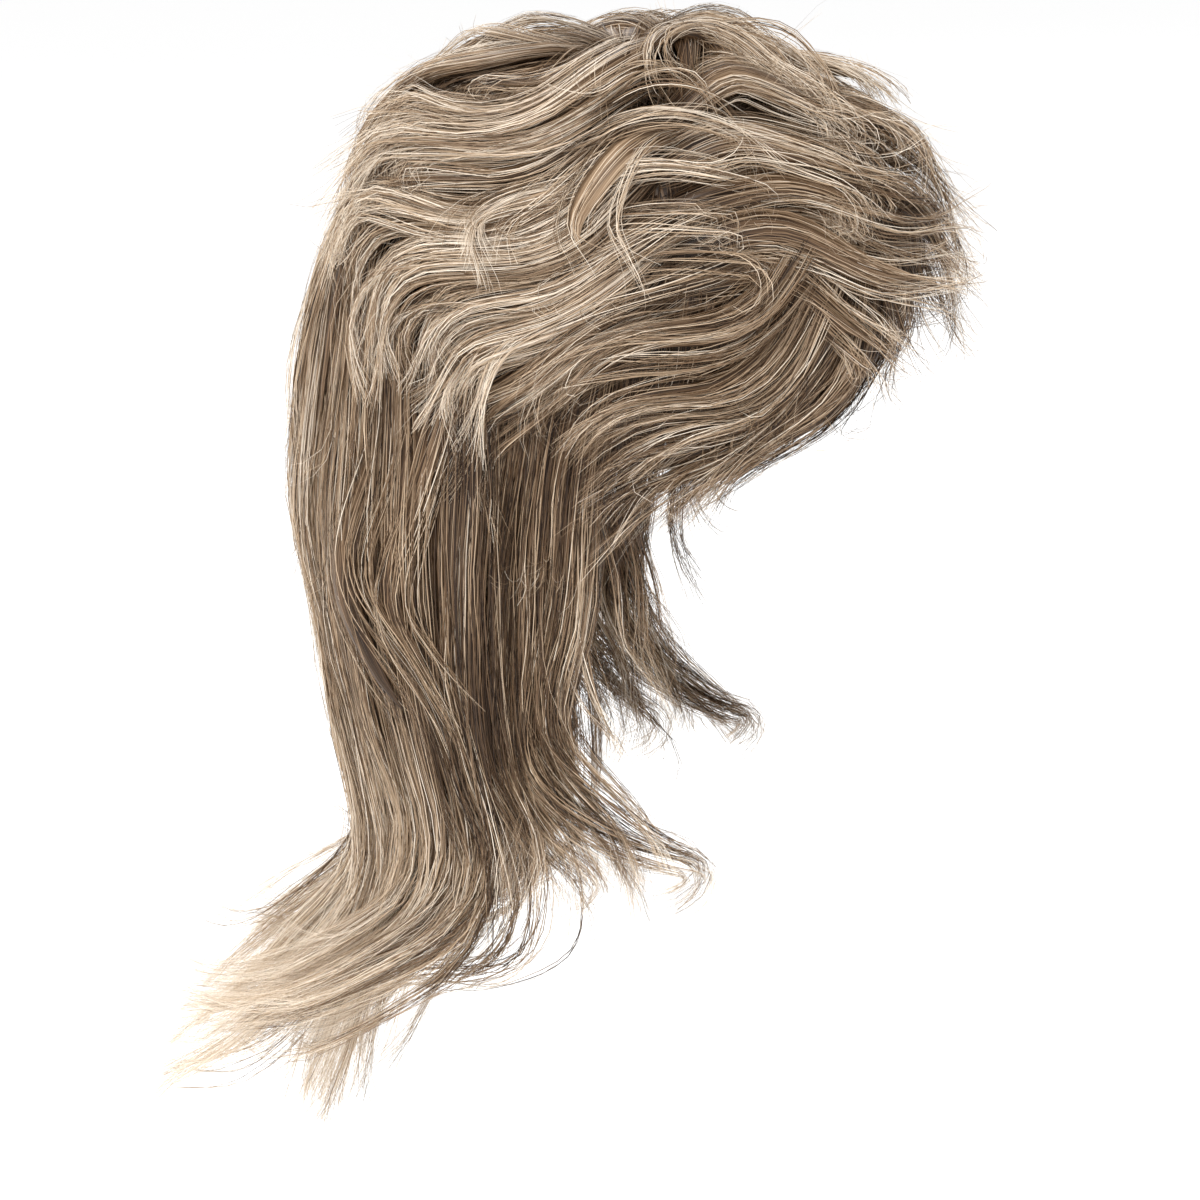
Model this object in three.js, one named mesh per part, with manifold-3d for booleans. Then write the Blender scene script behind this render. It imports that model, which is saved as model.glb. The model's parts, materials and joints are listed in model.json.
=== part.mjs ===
// A feathered, shoulder-length cosplay wig: a thin stretch cap, and the tiers of hair sewn to it.
// Millimetres, +Z up. The origin is the inside of the cap's top, where the wig sits on the head.
// The wearer faces -Y, and the wearer's right is -X.
import * as THREE from "three";
import { mergeVertices } from "three/addons/utils/BufferGeometryUtils.js";
import Module from "manifold-3d";

const wasm = await Module();
wasm.setup();

// Driving dimensions of the head that the wig fits
const HEAD_WIDTH = 154;
const HEAD_LENGTH = 194;
const CROWN_HEIGHT = 95; // from the widest level of the head up to its top
const CROWN_ARC = 150; // nominal way over the head, from its top to that level
const CROWN_SQUARENESS = 2.35; // 2 is an ellipse, and more is a fuller crown
const NECK_TAPER = 0.15; // share of the width that is lost from head to neck
const NECK_DROP = 110; // over this height

// Walls, clearances and facets
const CAP_WALL = 1.5;
const GAP = 0.4; // between neighbouring pieces
const CHORD_ROOM = 1.6; // what a flat facet may dip below the curve that it stands for
const WEFT_FLOOR = CAP_WALL + GAP + CHORD_ROOM; // lift of the underside of the hair
const CAP_COLUMNS = 28;
const CAP_ROWS = 7;
const CROWN_ROWS = 3;
const LOCK_SIDES = 5;
const LOCK_STEP = 26; // length of a facet along a lock
const LOCK_STEPS = [5, 7]; // least and most facets along a lock
const WEFT_COLUMN = 15; // degrees of turn
const WEFT_ROW = 34;
const RIDGE = 5; // height of the ridges on a weft's outside
const SIDE_FALL = 10; // how much nearer to the head a ridged weft's outside lies at its sides
const MERGE = 1e-3;

// How a lock's section swells and tapers: [share of its length, share of its width]
const LOCK_TAPER = [
  [0, 0.5],
  [0.3, 1],
  [0.7, 0.86],
  [0.9, 0.5],
  [1, 0.2],
];

// The cap's lower edge, from the middle of the face round to the nape: [turn, drop]
const CAP_EDGE = [
  [0, 92],
  [35, 100],
  [58, 112],
  [70, 132],
  [82, 164],
  [97, 146],
  [122, 178],
  [150, 200],
  [180, 206],
];

// The mirrored side of a real wig never matches exactly, so its locks are shifted by this much.
const FAR_SIDE_SHIFT = { turn: 3, drop: 4 };
const FAR_SIDE_LENGTH = 0.86; // of the near side's hanging locks

const radians = THREE.MathUtils.degToRad;
const { clamp, lerp, smoothstep } = THREE.MathUtils;

// Value at x of a table of [x, value] rows, joined by straight lines.
function tableAt(table, x) {
  const next = Math.max(1, table.findIndex(([start]) => start >= x));
  const [x0, v0] = table[next - 1];
  const [x1, v1] = table[next];
  return lerp(v0, v1, (x - x0) / (x1 - x0));
}

// Places on the head are given as turn, degrees round from the middle of the face towards the wearer's
// right; drop, the way down over the head from its top; and lift, the distance off the head.
function onHead(turn, drop) {
  const power = 2 / CROWN_SQUARENESS;
  const fall = radians((90 * Math.min(drop, CROWN_ARC)) / CROWN_ARC);
  const below = Math.max(0, drop - CROWN_ARC);
  const neck = 1 - NECK_TAPER * smoothstep(below, 0, NECK_DROP);
  const reach = Math.sin(fall) ** power * neck;
  return new THREE.Vector3(
    (-HEAD_WIDTH / 2) * Math.sin(radians(turn)) * reach,
    (-HEAD_LENGTH / 2) * Math.cos(radians(turn)) * reach,
    CROWN_HEIGHT * (Math.max(0, Math.cos(fall)) ** power - 1) - below,
  );
}

function outward(turn, drop) {
  const step = 0.5;
  if (drop < step) return new THREE.Vector3(0, 0, 1);
  const along = onHead(turn, drop + step).sub(onHead(turn, drop - step));
  const around = onHead(turn + step, drop).sub(onHead(turn - step, drop));
  return along.cross(around).negate().normalize();
}

function place(turn, drop, lift) {
  return onHead(turn, drop).addScaledVector(outward(turn, drop), lift);
}

// A closed skin over rings of equally many points. A first or last ring that is folded to a line or
// a point closes the skin there.
function skin(rings) {
  const around = rings[0].length;
  const corners = [];
  for (let row = 0; row + 1 < rings.length; row++) {
    for (let i = 0; i < around; i++) {
      const j = (i + 1) % around;
      const [a, b, c, d] = [rings[row][i], rings[row][j], rings[row + 1][j], rings[row + 1][i]];
      corners.push(a, b, c, a, c, d);
    }
  }
  return mergeVertices(new THREE.BufferGeometry().setFromPoints(corners), MERGE);
}

function solidOf(geometry) {
  const index = geometry.index.array;
  const faces = [];
  for (let i = 0; i < index.length; i += 3) {
    const [a, b, c] = index.slice(i, i + 3);
    if (a !== b && b !== c && c !== a) faces.push(a, b, c);
  }
  const vertProperties = geometry.attributes.position.array;
  const triVerts = new Uint32Array(faces);
  return new wasm.Manifold(new wasm.Mesh({ numProp: 3, vertProperties, triVerts }));
}

function geometryOf(solid) {
  const { vertProperties, triVerts } = solid.getMesh();
  return new THREE.BufferGeometry()
    .setAttribute("position", new THREE.BufferAttribute(vertProperties, 3))
    .setIndex(new THREE.BufferAttribute(triVerts, 1));
}

const joined = (solids) => solids.reduce((whole, solid) => whole.add(solid));

// A cut can leave crumbs behind, so a piece keeps its largest body.
function largestBody(solid) {
  return solid.decompose().reduce((most, body) => (body.volume() > most.volume() ? body : most));
}

// Level rings on the head from its top down to an edge, which is a function of turn.
function headRings(edge, lift, rows) {
  return Array.from({ length: rows + 1 }, (_, row) =>
    Array.from({ length: CAP_COLUMNS }, (_, column) => {
      const turn = (360 * column) / CAP_COLUMNS;
      return place(turn, (edge(turn) * row) / rows, lift);
    }),
  );
}

// A dome between two lifts, open below at its edge.
function domeSolid(edge, lifts, rows) {
  const [inner, outer] = lifts.map((lift) => headRings(edge, lift, rows));
  return solidOf(skin([...outer, ...inner.reverse()]));
}

// The crown's own mat of hair.
function crownSolid({ dome, thick }, grow) {
  return domeSolid(() => dome + grow, [WEFT_FLOOR - grow, WEFT_FLOOR + thick + grow], CROWN_ROWS);
}

const capEdge = (turn) => tableAt(CAP_EDGE, turn > 180 ? 360 - turn : turn);

// The room that the head and neck need, which no hair enters.
function headRoom() {
  const neckEnd = 480;
  const rows = 32;
  const rings = headRings(() => neckEnd, CAP_WALL + GAP, rows);
  const middle = new THREE.Vector3(0, 0, rings[rows][0].z);
  return solidOf(skin([...rings, rings[rows].map(() => middle)]));
}

// A weft: the mat of hair that carries a tier's locks. It is a patch of the head between two turns,
// with a row of [drop, lift inside, lift outside] for each level, and its outside may be ridged.
function weftSolid({ turns, rows, ridges = 0 }, grow) {
  const columns = ridges ? 2 * ridges : Math.ceil((turns[1] - turns[0]) / WEFT_COLUMN);
  const line = (drop, liftAt) =>
    Array.from({ length: columns + 1 }, (_, column) =>
      place(lerp(turns[0] - grow, turns[1] + grow, column / columns), drop, liftAt(column)),
    );
  const ridge = (column) => RIDGE * (column % 2) - SIDE_FALL * ((2 * column) / columns - 1) ** 2;
  const rings = rows.map(([drop, inside, outside], row) => {
    const atEnd = row === 0 ? -1 : row === rows.length - 1 ? 1 : 0;
    const swell = atEnd ? 0 : grow;
    const level = drop + grow * atEnd;
    const outer = line(level, (column) => outside + swell + (ridges && !atEnd ? ridge(column) : 0));
    const inner = line(level, () => inside - swell);
    return [...outer, ...inner.reverse()];
  });
  return solidOf(skin(rings));
}

// Rows of a plain weft, which is thinned out to an edge at its top and bottom.
function plainRows([top, bottom], thick) {
  const count = Math.max(3, Math.ceil((bottom - top) / WEFT_ROW));
  return Array.from({ length: count + 1 }, (_, row) => {
    const outside = row % count ? WEFT_FLOOR + thick : WEFT_FLOOR;
    return [lerp(top, bottom, row / count), WEFT_FLOOR, outside];
  });
}

// A lock: a flat, tapered bundle of hair through four stations, each [turn, drop, lift]. Its section is
// carried along the path without twisting, with its flat side to the head at the root.
function lockSolid({ stations, width, depth }, grow) {
  const knots = stations.map((at) => new THREE.Vector3(...at));
  const route = new THREE.CatmullRomCurve3(knots, false, "centripetal");
  const joints = stations.map((at) => place(...at));
  const length = joints.slice(1).reduce((sum, joint, i) => sum + joint.distanceTo(joints[i]), 0);
  const steps = clamp(Math.round(length / LOCK_STEP), ...LOCK_STEPS);
  const spine = route.getPoints(steps).map(({ x, y, z }) => place(x, y, z));
  const [rootTurn, rootDrop] = stations[0];
  const face = outward(rootTurn, rootDrop);
  const rings = spine.map((middle, step) => {
    const ahead = spine[Math.min(step + 1, steps)];
    const tangent = ahead.clone().sub(spine[Math.max(step - 1, 0)]).normalize();
    face.addScaledVector(tangent, -face.dot(tangent)).normalize();
    const across = face.clone().cross(tangent);
    const share = tableAt(LOCK_TAPER, step / steps);
    return Array.from({ length: LOCK_SIDES }, (_, side) => {
      const angle = (2 * Math.PI * side) / LOCK_SIDES + Math.PI / 2; // its crest faces out
      return middle
        .clone()
        .addScaledVector(across, Math.cos(angle) * ((width / 2) * share + grow))
        .addScaledVector(face, Math.sin(angle) * ((depth / 2) * share + grow));
    });
  });
  const closing = (at) => rings[at].map(() => spine[at]);
  return solidOf(skin([closing(0), ...rings, closing(steps)]));
}

function farSide({ stations, width, depth }, length = 1) {
  const rootDrop = stations[0][1];
  const shifted = stations.map(([turn, drop, lift]) => [
    -turn - FAR_SIDE_SHIFT.turn,
    rootDrop + (drop - rootDrop) * length + FAR_SIDE_SHIFT.drop,
    lift,
  ]);
  return { stations: shifted, width, depth };
}

function lock([root, rise, fall, tip, width, depth]) {
  return { stations: [root, rise, fall, tip], width, depth };
}

// Locks of one side. Each row: root, rise, fall and tip stations, width, depth.
// Round the crown, from the whorl back and down, and one forward:
const CROWN_LOCKS = [
  [[50, 12, 12], [98, 46, 23], [128, 76, 22], [162, 79, 30], 32, 12],
  [[76, 38, 12], [110, 72, 21], [142, 93, 22], [162, 112, 25], 28, 12],
  [[66, 66, 11], [86, 82, 24], [95, 106, 27], [83, 131, 28], 20, 10],
  [[84, 64, 12], [115, 106, 19], [143, 110, 22], [151, 138, 22], 26, 12],
  [[26, 26, 12], [54, 33, 24], [72, 46, 24], [79, 72, 22], 24, 11],
  [[68, 58, 12], [46, 50, 24], [22, 66, 26], [6, 90, 31], 26, 11],
].map(lock);

// Over the brow, brought forward, with tips that curl clear of the forehead:
const FORWARD_LOCKS = [
  [[72, 80, 12], [52, 74, 22], [30, 86, 25], [12, 104, 32], 25, 11],
  [[70, 97, 11], [44, 92, 20], [26, 102, 24], [10, 118, 33], 24, 10],
  [[70, 112, 10], [52, 107, 18], [30, 118, 22], [5, 139, 32], 25, 10],
  [[71, 124, 9], [52, 124, 16], [34, 134, 18], [14, 152, 23], 26, 10],
].map(lock);

// From the brow, swept down and back over the temple:
const TEMPLE_LOCKS = [
  [[34, 100, 12], [58, 128, 18], [80, 142, 20], [101, 157, 24], 26, 11],
  [[28, 104, 10], [54, 142, 16], [76, 158, 18], [100, 175, 23], 26, 11],
  [[20, 104, 9], [44, 150, 14], [70, 167, 16], [92, 188, 21], 26, 10],
  [[12, 104, 8], [34, 164, 12], [58, 180, 12], [77, 198, 17], 26, 10],
].map(lock);

// Over the ear, feathered back:
const FEATHER_LOCKS = [
  [[78, 80, 13], [100, 108, 20], [126, 124, 22], [140, 162, 25], 26, 11],
  [[78, 97, 12], [98, 119, 19], [118, 132, 21], [134, 170, 24], 26, 11],
  [[77, 112, 12], [94, 131, 19], [114, 144, 21], [124, 180, 24], 25, 11],
  [[76, 128, 11], [94, 146, 18], [115, 164, 22], [110, 198, 24], 22, 10],
  [[86, 82, 12], [102, 92, 22], [112, 106, 25], [107, 126, 26], 18, 9],
].map(lock);

// Past the ear, long, with ends that turn forward:
const SIDE_LOCKS = [
  [[87, 152, 8], [83, 222, 12], [80, 260, 12], [63, 281, 14], 13, 7],
  [[86, 140, 8], [95, 238, 14], [98, 294, 12], [66, 343, 17], 24, 9],
  [[95, 140, 8], [103, 244, 15], [102, 300, 12], [84, 349, 16], 22, 9],
  [[105, 140, 9], [112, 250, 17], [111, 302, 13], [89, 352, 17], 22, 9],
].map(lock);

// Over the long back, waved forward towards the ear:
const WAVE_LOCKS = [
  [[119, 152, 16], [126, 194, 29], [130, 238, 35], [112, 294, 28], 22, 10],
  [[136, 176, 22], [142, 222, 35], [137, 262, 35], [121, 312, 25], 24, 10],
].map(lock);

// Locks on the middle line
const CROWN_MIDDLE_LOCKS = [
  [[150, 6, 12], [176, 36, 22], [182, 84, 20], [186, 124, 25], 44, 12],
  [[150, 10, 12], [206, 36, 23], [208, 64, 22], [200, 100, 28], 34, 12],
  [[-50, 6, 12], [-20, 28, 24], [-12, 54, 26], [-14, 84, 32], 34, 12],
  [[40, 6, 12], [16, 30, 24], [8, 54, 26], [2, 80, 32], 34, 12],
  [[-8, 66, 12], [-8, 90, 23], [-8, 107, 28], [-10, 122, 35], 26, 11],
].map(lock);
const BROW_MIDDLE_LOCKS = [
  [[4, 92, 10], [0, 114, 18], [-2, 128, 24], [-4, 144, 31], 26, 10],
  [[-16, 98, 8], [-20, 126, 14], [-17, 143, 15], [-8, 157, 18], 30, 10],
  [[14, 98, 8], [15, 126, 14], [11, 143, 15], [3, 157, 19], 30, 10],
].map(lock);

// The long back is a ridged curtain from ear to ear: [drop, lift inside, lift outside].
const BACK_TURNS = [115, 245];
const BACK_RIDGES = 8;
const BACK_ROWS = [
  [76, WEFT_FLOOR, WEFT_FLOOR],
  [106, WEFT_FLOOR, 13],
  [140, WEFT_FLOOR, 22],
  [175, WEFT_FLOOR, 27],
  [212, 12, 37],
  [255, 16, 36],
  [295, 13, 29],
  [330, 8, 19],
  [350, 11, 11],
];

// Tail locks grow out of the curtain's lower end. They flick out behind and hang lower by turns.
const TAIL_LOCKS = 9;
const TAIL_WIDTH = 30;
const TAIL_DEPTH = 13;
const TAIL_SPAN = 62; // degrees of turn from the middle tail lock's root to the outermost
const TAIL_TIP_SPAN = 26; // the same at their tips, which gather behind
const TAIL_OUTER_END = 402; // drop of the outermost tips
const TAIL_ENDS = [
  { drop: 440, lift: 62 },
  { drop: 412, lift: 84 },
  { drop: 456, lift: 34 },
  { drop: 432, lift: 88 },
];

function tailLocks() {
  const middle = (TAIL_LOCKS - 1) / 2;
  return Array.from({ length: TAIL_LOCKS }, (_, i) => {
    const off = (i - middle) / middle; // from -1 to 1 across the back
    const turn = 180 + TAIL_SPAN * off;
    const end = TAIL_ENDS[i % TAIL_ENDS.length];
    const tip = [180 + TAIL_TIP_SPAN * off, lerp(end.drop, TAIL_OUTER_END, off ** 2), end.lift];
    return {
      stations: [[turn, 314, 17], [turn, 336, 14], [turn - 4 * off, 364, 16], tip],
      width: TAIL_WIDTH,
      depth: TAIL_DEPTH,
    };
  });
}

const bothSides = (rows) => [...rows, ...rows.map((row) => farSide(row))];

// Each tier is a weft with its locks. An earlier tier lies over a later one.
const TIERS = {
  crown_layer: {
    color: 0xa89278,
    weft: { dome: 74, thick: 16 },
    locks: [...bothSides(CROWN_LOCKS), ...CROWN_MIDDLE_LOCKS],
  },
  fringe: {
    color: 0x9c8769,
    weft: { turns: [-73, 73], rows: plainRows([75, 126], 11) },
    locks: [...BROW_MIDDLE_LOCKS, ...bothSides([...FORWARD_LOCKS, ...TEMPLE_LOCKS])],
  },
  feathers_right: {
    color: 0x9a866c,
    weft: { turns: [74, 114], rows: plainRows([75, 146], 11) },
    locks: FEATHER_LOCKS,
  },
  feathers_left: {
    color: 0x9a866c,
    weft: { turns: [-114, -74], rows: plainRows([75, 146], 11) },
    locks: FEATHER_LOCKS.map((row) => farSide(row)),
  },
  side_lengths_right: {
    color: 0x7e6d56,
    weft: { turns: [84, 114], rows: plainRows([147, 232], 8) },
    locks: SIDE_LOCKS,
  },
  side_lengths_left: {
    color: 0x7e6d56,
    weft: { turns: [-114, -84], rows: plainRows([147, 232], 8) },
    locks: SIDE_LOCKS.map((row) => farSide(row, FAR_SIDE_LENGTH)),
  },
  back_lengths: {
    color: 0x93816a,
    weft: { turns: BACK_TURNS, rows: BACK_ROWS, ridges: BACK_RIDGES },
    locks: [...tailLocks(), ...bothSides(WAVE_LOCKS)],
  },
};

const CAP_LOOK = { color: 0xc9a98a, roughness: 0.9, metalness: 0 };
const HAIR_ROUGHNESS = 0.55;

function tierSolid({ weft, locks }, grow) {
  const mat = weft.dome ? crownSolid(weft, grow) : weftSolid(weft, grow);
  return joined([mat, ...locks.map((row) => lockSolid(row, grow))]);
}

function part(name, solid, look) {
  const mesh = new THREE.Mesh(geometryOf(solid), new THREE.MeshStandardMaterial(look));
  mesh.name = name;
  return mesh;
}

const wig = new THREE.Group();
wig.add(part("wig_cap", domeSolid(capEdge, [0, CAP_WALL], CAP_ROWS), CAP_LOOK));

let taken = headRoom();
for (const [name, tier] of Object.entries(TIERS)) {
  const solid = largestBody(tierSolid(tier, 0).subtract(taken));
  wig.add(part(name, solid, { color: tier.color, roughness: HAIR_ROUGHNESS, metalness: 0 }));
  taken = taken.add(tierSolid(tier, GAP));
}

export default wig;
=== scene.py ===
# %% [markdown]
# # A feathered cosplay wig
#
# This lesson dresses a wig whose solids were made in CAD. The solids give the size and the form: a
# thin cap, and tiers of hair made of locks. Here each tier becomes real hair, thousands of fine
# fibres that follow those locks.
#
# Hair could be made with Blender's own hair curves or with particles. We build it as plain mesh
# ribbons from numpy arrays instead, because ribbons can be counted, exported and coloured one by
# one, and numpy makes them quickly.

# %% Load the frame
import json
from itertools import cycle

import bpy
import numpy as np
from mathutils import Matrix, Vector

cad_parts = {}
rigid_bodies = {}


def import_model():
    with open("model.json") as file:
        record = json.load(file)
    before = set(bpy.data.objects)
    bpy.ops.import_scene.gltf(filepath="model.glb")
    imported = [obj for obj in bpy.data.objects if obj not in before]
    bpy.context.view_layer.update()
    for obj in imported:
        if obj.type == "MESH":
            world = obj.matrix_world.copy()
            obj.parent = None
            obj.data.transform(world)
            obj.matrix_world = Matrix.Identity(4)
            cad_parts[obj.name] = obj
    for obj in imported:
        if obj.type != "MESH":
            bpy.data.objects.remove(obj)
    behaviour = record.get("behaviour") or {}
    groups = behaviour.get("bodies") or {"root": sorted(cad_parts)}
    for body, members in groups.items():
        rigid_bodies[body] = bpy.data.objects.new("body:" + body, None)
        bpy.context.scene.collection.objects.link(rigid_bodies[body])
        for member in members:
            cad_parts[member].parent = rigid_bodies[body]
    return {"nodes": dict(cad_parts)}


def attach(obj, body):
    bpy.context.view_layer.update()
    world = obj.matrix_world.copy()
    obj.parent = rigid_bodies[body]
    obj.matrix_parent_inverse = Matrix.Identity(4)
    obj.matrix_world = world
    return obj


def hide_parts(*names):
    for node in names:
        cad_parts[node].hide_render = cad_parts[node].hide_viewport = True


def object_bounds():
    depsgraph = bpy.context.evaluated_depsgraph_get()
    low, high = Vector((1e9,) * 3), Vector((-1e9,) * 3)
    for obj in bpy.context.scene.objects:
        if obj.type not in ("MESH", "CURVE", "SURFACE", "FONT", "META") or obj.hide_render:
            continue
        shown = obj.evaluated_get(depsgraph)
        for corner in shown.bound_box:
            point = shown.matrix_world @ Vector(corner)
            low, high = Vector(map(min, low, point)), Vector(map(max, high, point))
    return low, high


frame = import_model()
cad_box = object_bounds()
print("CAD nodes:", ", ".join(sorted(frame["nodes"])))

# %% [markdown]
# ## The head that the wig fits
#
# Every place on the wig is given as on a head. `turn` is the angle in degrees round from the middle
# of the face towards the wearer's right, `drop` is the way in millimetres down over the head from
# its top, and `lift` is the distance off the head. A route of hair is then easy to write: back over
# the ear is more turn, down is more drop, and a curl that stands away is more lift. The same sizes
# shaped the CAD solids.

# %% The form of the head
HEAD_WIDTH = 154
HEAD_LENGTH = 194
CROWN_HEIGHT = 95  # from the top of the head down to its widest level
CROWN_ARC = 150  # and the drop down over the head to that level
CROWN_SQUARENESS = 2.35  # 2 would be a plain ellipsoid
NECK_TAPER = 0.15  # how much narrower it gets below
NECK_DROP = 110  # over this drop


def on_head(turn, drop):
    power = 2 / CROWN_SQUARENESS
    fall = np.radians(90 * np.clip(drop, 0, CROWN_ARC) / CROWN_ARC)
    below = np.maximum(drop - CROWN_ARC, 0)
    ease = np.clip(below / NECK_DROP, 0, 1)
    reach = np.sin(fall) ** power * (1 - NECK_TAPER * ease**2 * (3 - 2 * ease))
    x = -HEAD_WIDTH / 2 * np.sin(np.radians(turn)) * reach
    y = -HEAD_LENGTH / 2 * np.cos(np.radians(turn)) * reach
    z = CROWN_HEIGHT * (np.maximum(np.cos(fall), 0) ** power - 1) - below
    return np.stack([x, y, z], axis=-1)


def unit(vectors):
    return vectors / np.maximum(np.linalg.norm(vectors, axis=-1, keepdims=True), 1e-9)


def outward(turn, drop):
    step = 0.5
    low = np.maximum(drop, 2 * step)
    along = on_head(turn, low + step) - on_head(turn, low - step)
    around = on_head(turn + step, low) - on_head(turn - step, low)
    return unit(np.cross(around, along))


def place(turn, drop, lift):
    turn, drop, lift = (np.asarray(value, float) for value in (turn, drop, lift))
    return on_head(turn, drop) + outward(turn, drop) * lift[..., None]


print("back of the head, mm:", place(180, 150, 0).round(1))

# %% [markdown]
# ## The locks
#
# A lock is a bundle of hair that keeps together. The crown's locks leave the whorl and are swept back
# or forward, and those of the fringe come forward over the brow or run down and back over the
# temples. They could be drawn by hand as Bezier curves, but a table is shorter and easier to comb
# again. Each row is one lock: its stations of (turn, drop, lift) from root to tip, then its width
# and depth in millimetres. These are the rows that the CAD solids use, so the hair keeps their form.

# %% Locks of the crown and the fringe
CROWN_LOCKS = [
    ((50, 12, 12), (98, 46, 23), (128, 76, 22), (162, 79, 30), 32, 12),
    ((76, 38, 12), (110, 72, 21), (142, 93, 22), (162, 112, 25), 28, 12),
    ((66, 66, 11), (86, 82, 24), (95, 106, 27), (83, 131, 28), 20, 10),
    ((84, 64, 12), (115, 106, 19), (143, 110, 22), (151, 138, 22), 26, 12),
    ((26, 26, 12), (54, 33, 24), (72, 46, 24), (79, 72, 22), 24, 11),
    ((68, 58, 12), (46, 50, 24), (22, 66, 26), (6, 90, 31), 26, 11),
]
CROWN_MIDDLE_LOCKS = [
    ((150, 6, 12), (176, 36, 22), (182, 84, 20), (186, 124, 25), 44, 12),
    ((150, 10, 12), (206, 36, 23), (208, 64, 22), (200, 100, 28), 34, 12),
    ((-50, 6, 12), (-20, 28, 24), (-12, 54, 26), (-14, 84, 32), 34, 12),
    ((40, 6, 12), (16, 30, 24), (8, 54, 26), (2, 80, 32), 34, 12),
    ((-8, 66, 12), (-8, 90, 23), (-8, 107, 28), (-10, 122, 35), 26, 11),
]
FORWARD_LOCKS = [
    ((72, 80, 12), (52, 74, 22), (30, 86, 25), (12, 104, 32), 25, 11),
    ((70, 97, 11), (44, 92, 20), (26, 102, 24), (10, 118, 33), 24, 10),
    ((70, 112, 10), (52, 107, 18), (30, 118, 22), (5, 139, 32), 25, 10),
    ((71, 124, 9), (52, 124, 16), (34, 134, 18), (14, 152, 23), 26, 10),
]
BROW_MIDDLE_LOCKS = [
    ((4, 92, 10), (0, 114, 18), (-2, 128, 24), (-4, 144, 31), 26, 10),
    ((-16, 98, 8), (-20, 126, 14), (-17, 143, 15), (-8, 157, 18), 30, 10),
    ((14, 98, 8), (15, 126, 14), (11, 143, 15), (3, 157, 19), 30, 10),
]
TEMPLE_LOCKS = [
    ((34, 100, 12), (58, 128, 18), (80, 142, 20), (101, 157, 24), 26, 11),
    ((28, 104, 10), (54, 142, 16), (76, 158, 18), (100, 175, 23), 26, 11),
    ((20, 104, 9), (44, 150, 14), (70, 167, 16), (92, 188, 21), 26, 10),
    ((12, 104, 8), (34, 164, 12), (58, 180, 12), (77, 198, 17), 26, 10),
]
print("crown locks:", len(CROWN_LOCKS), "a side and", len(CROWN_MIDDLE_LOCKS), "in the middle")

# %% [markdown]
# Feathers are layers cut over the ear and combed back, and each ends in a curl. Below them the side
# lengths hang straight and turn forward at their ends, and behind the ear two waves roll over the
# long back. They are rows too. Only the wearer's right is written down, because a function can repeat
# it on the left.

# %% Locks of the feathers, the sides and the waves behind the ear
FEATHER_LOCKS = [
    ((78, 80, 13), (100, 108, 20), (126, 124, 22), (140, 162, 25), 26, 11),
    ((78, 97, 12), (98, 119, 19), (118, 132, 21), (134, 170, 24), 26, 11),
    ((77, 112, 12), (94, 131, 19), (114, 144, 21), (124, 180, 24), 25, 11),
    ((76, 128, 11), (94, 146, 18), (115, 164, 22), (110, 198, 24), 22, 10),
    ((86, 82, 12), (102, 92, 22), (112, 106, 25), (107, 126, 26), 18, 9),
]
SIDE_LOCKS = [
    ((87, 152, 8), (83, 222, 12), (80, 260, 12), (63, 281, 14), 13, 7),
    ((86, 140, 8), (95, 238, 14), (98, 294, 12), (66, 343, 17), 24, 9),
    ((95, 140, 8), (103, 244, 15), (102, 300, 12), (84, 349, 16), 22, 9),
    ((105, 140, 9), (112, 250, 17), (111, 302, 13), (89, 352, 17), 22, 9),
]
WAVE_LOCKS = [
    ((119, 152, 16), (126, 194, 29), (130, 238, 35), (112, 294, 28), 22, 10),
    ((136, 176, 22), (142, 222, 35), (137, 262, 35), (121, 312, 25), 24, 10),
]
print("feathers a side:", len(FEATHER_LOCKS), "side lengths:", len(SIDE_LOCKS), "waves:", len(WAVE_LOCKS))

# %% [markdown]
# Between the locks of the solids lie others that are too thin for a solid of their own. At the crown
# they curl over their neighbours. Chance could lay them, but where one lock crosses another decides
# how combed the wig looks, so these have rows of their own.

# %% Loose locks of the crown
LOOSE_CROWN_LOCKS = [
    ((90, 40, 14), (118, 62, 22), (140, 66, 22), (160, 64, 22), 10, 5),
    ((62, 22, 14), (38, 28, 23), (20, 44, 25), (8, 70, 27), 11, 5),
    ((120, 40, 13), (150, 66, 19), (162, 90, 19), (172, 102, 20), 12, 6),
    ((96, 64, 16), (126, 88, 23), (150, 99, 22), (166, 122, 22), 11, 5),
    ((60, 46, 15), (78, 52, 24), (92, 66, 27), (96, 90, 26), 10, 5),
    ((70, 18, 10), (100, 38, 17), (126, 58, 19), (150, 76, 22), 18, 8),
    ((40, 10, 10), (90, 22, 19), (130, 42, 21), (158, 60, 24), 18, 8),
    ((54, 30, 11), (38, 42, 20), (24, 58, 23), (12, 82, 27), 16, 7),
    ((100, 96, 12), (120, 104, 18), (142, 112, 20), (158, 134, 22), 18, 8),
    ((78, 28, 11), (108, 58, 18), (132, 80, 18), (152, 98, 18), 22, 9),
    ((88, 48, 11), (116, 76, 18), (138, 94, 18), (158, 116, 19), 22, 9),
    ((96, 30, 10), (124, 58, 16), (146, 82, 15), (166, 104, 16), 24, 9),
    ((60, 26, 12), (104, 62, 21), (132, 90, 20), (156, 94, 19), 22, 9),
    ((90, 58, 11), (112, 84, 18), (132, 99, 19), (154, 112, 20), 20, 9),
]
LOOSE_MIDDLE_LOCKS = [
    ((10, 40, 12), (6, 64, 20), (2, 88, 23), (-2, 112, 26), 14, 6),
    ((-12, 44, 12), (-10, 70, 21), (-8, 92, 23), (-6, 116, 26), 14, 6),
    ((24, 44, 12), (17, 68, 21), (10, 90, 23), (4, 112, 26), 14, 6),
    ((-26, 44, 12), (-20, 68, 21), (-14, 90, 23), (-10, 112, 26), 14, 6),
]
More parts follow.
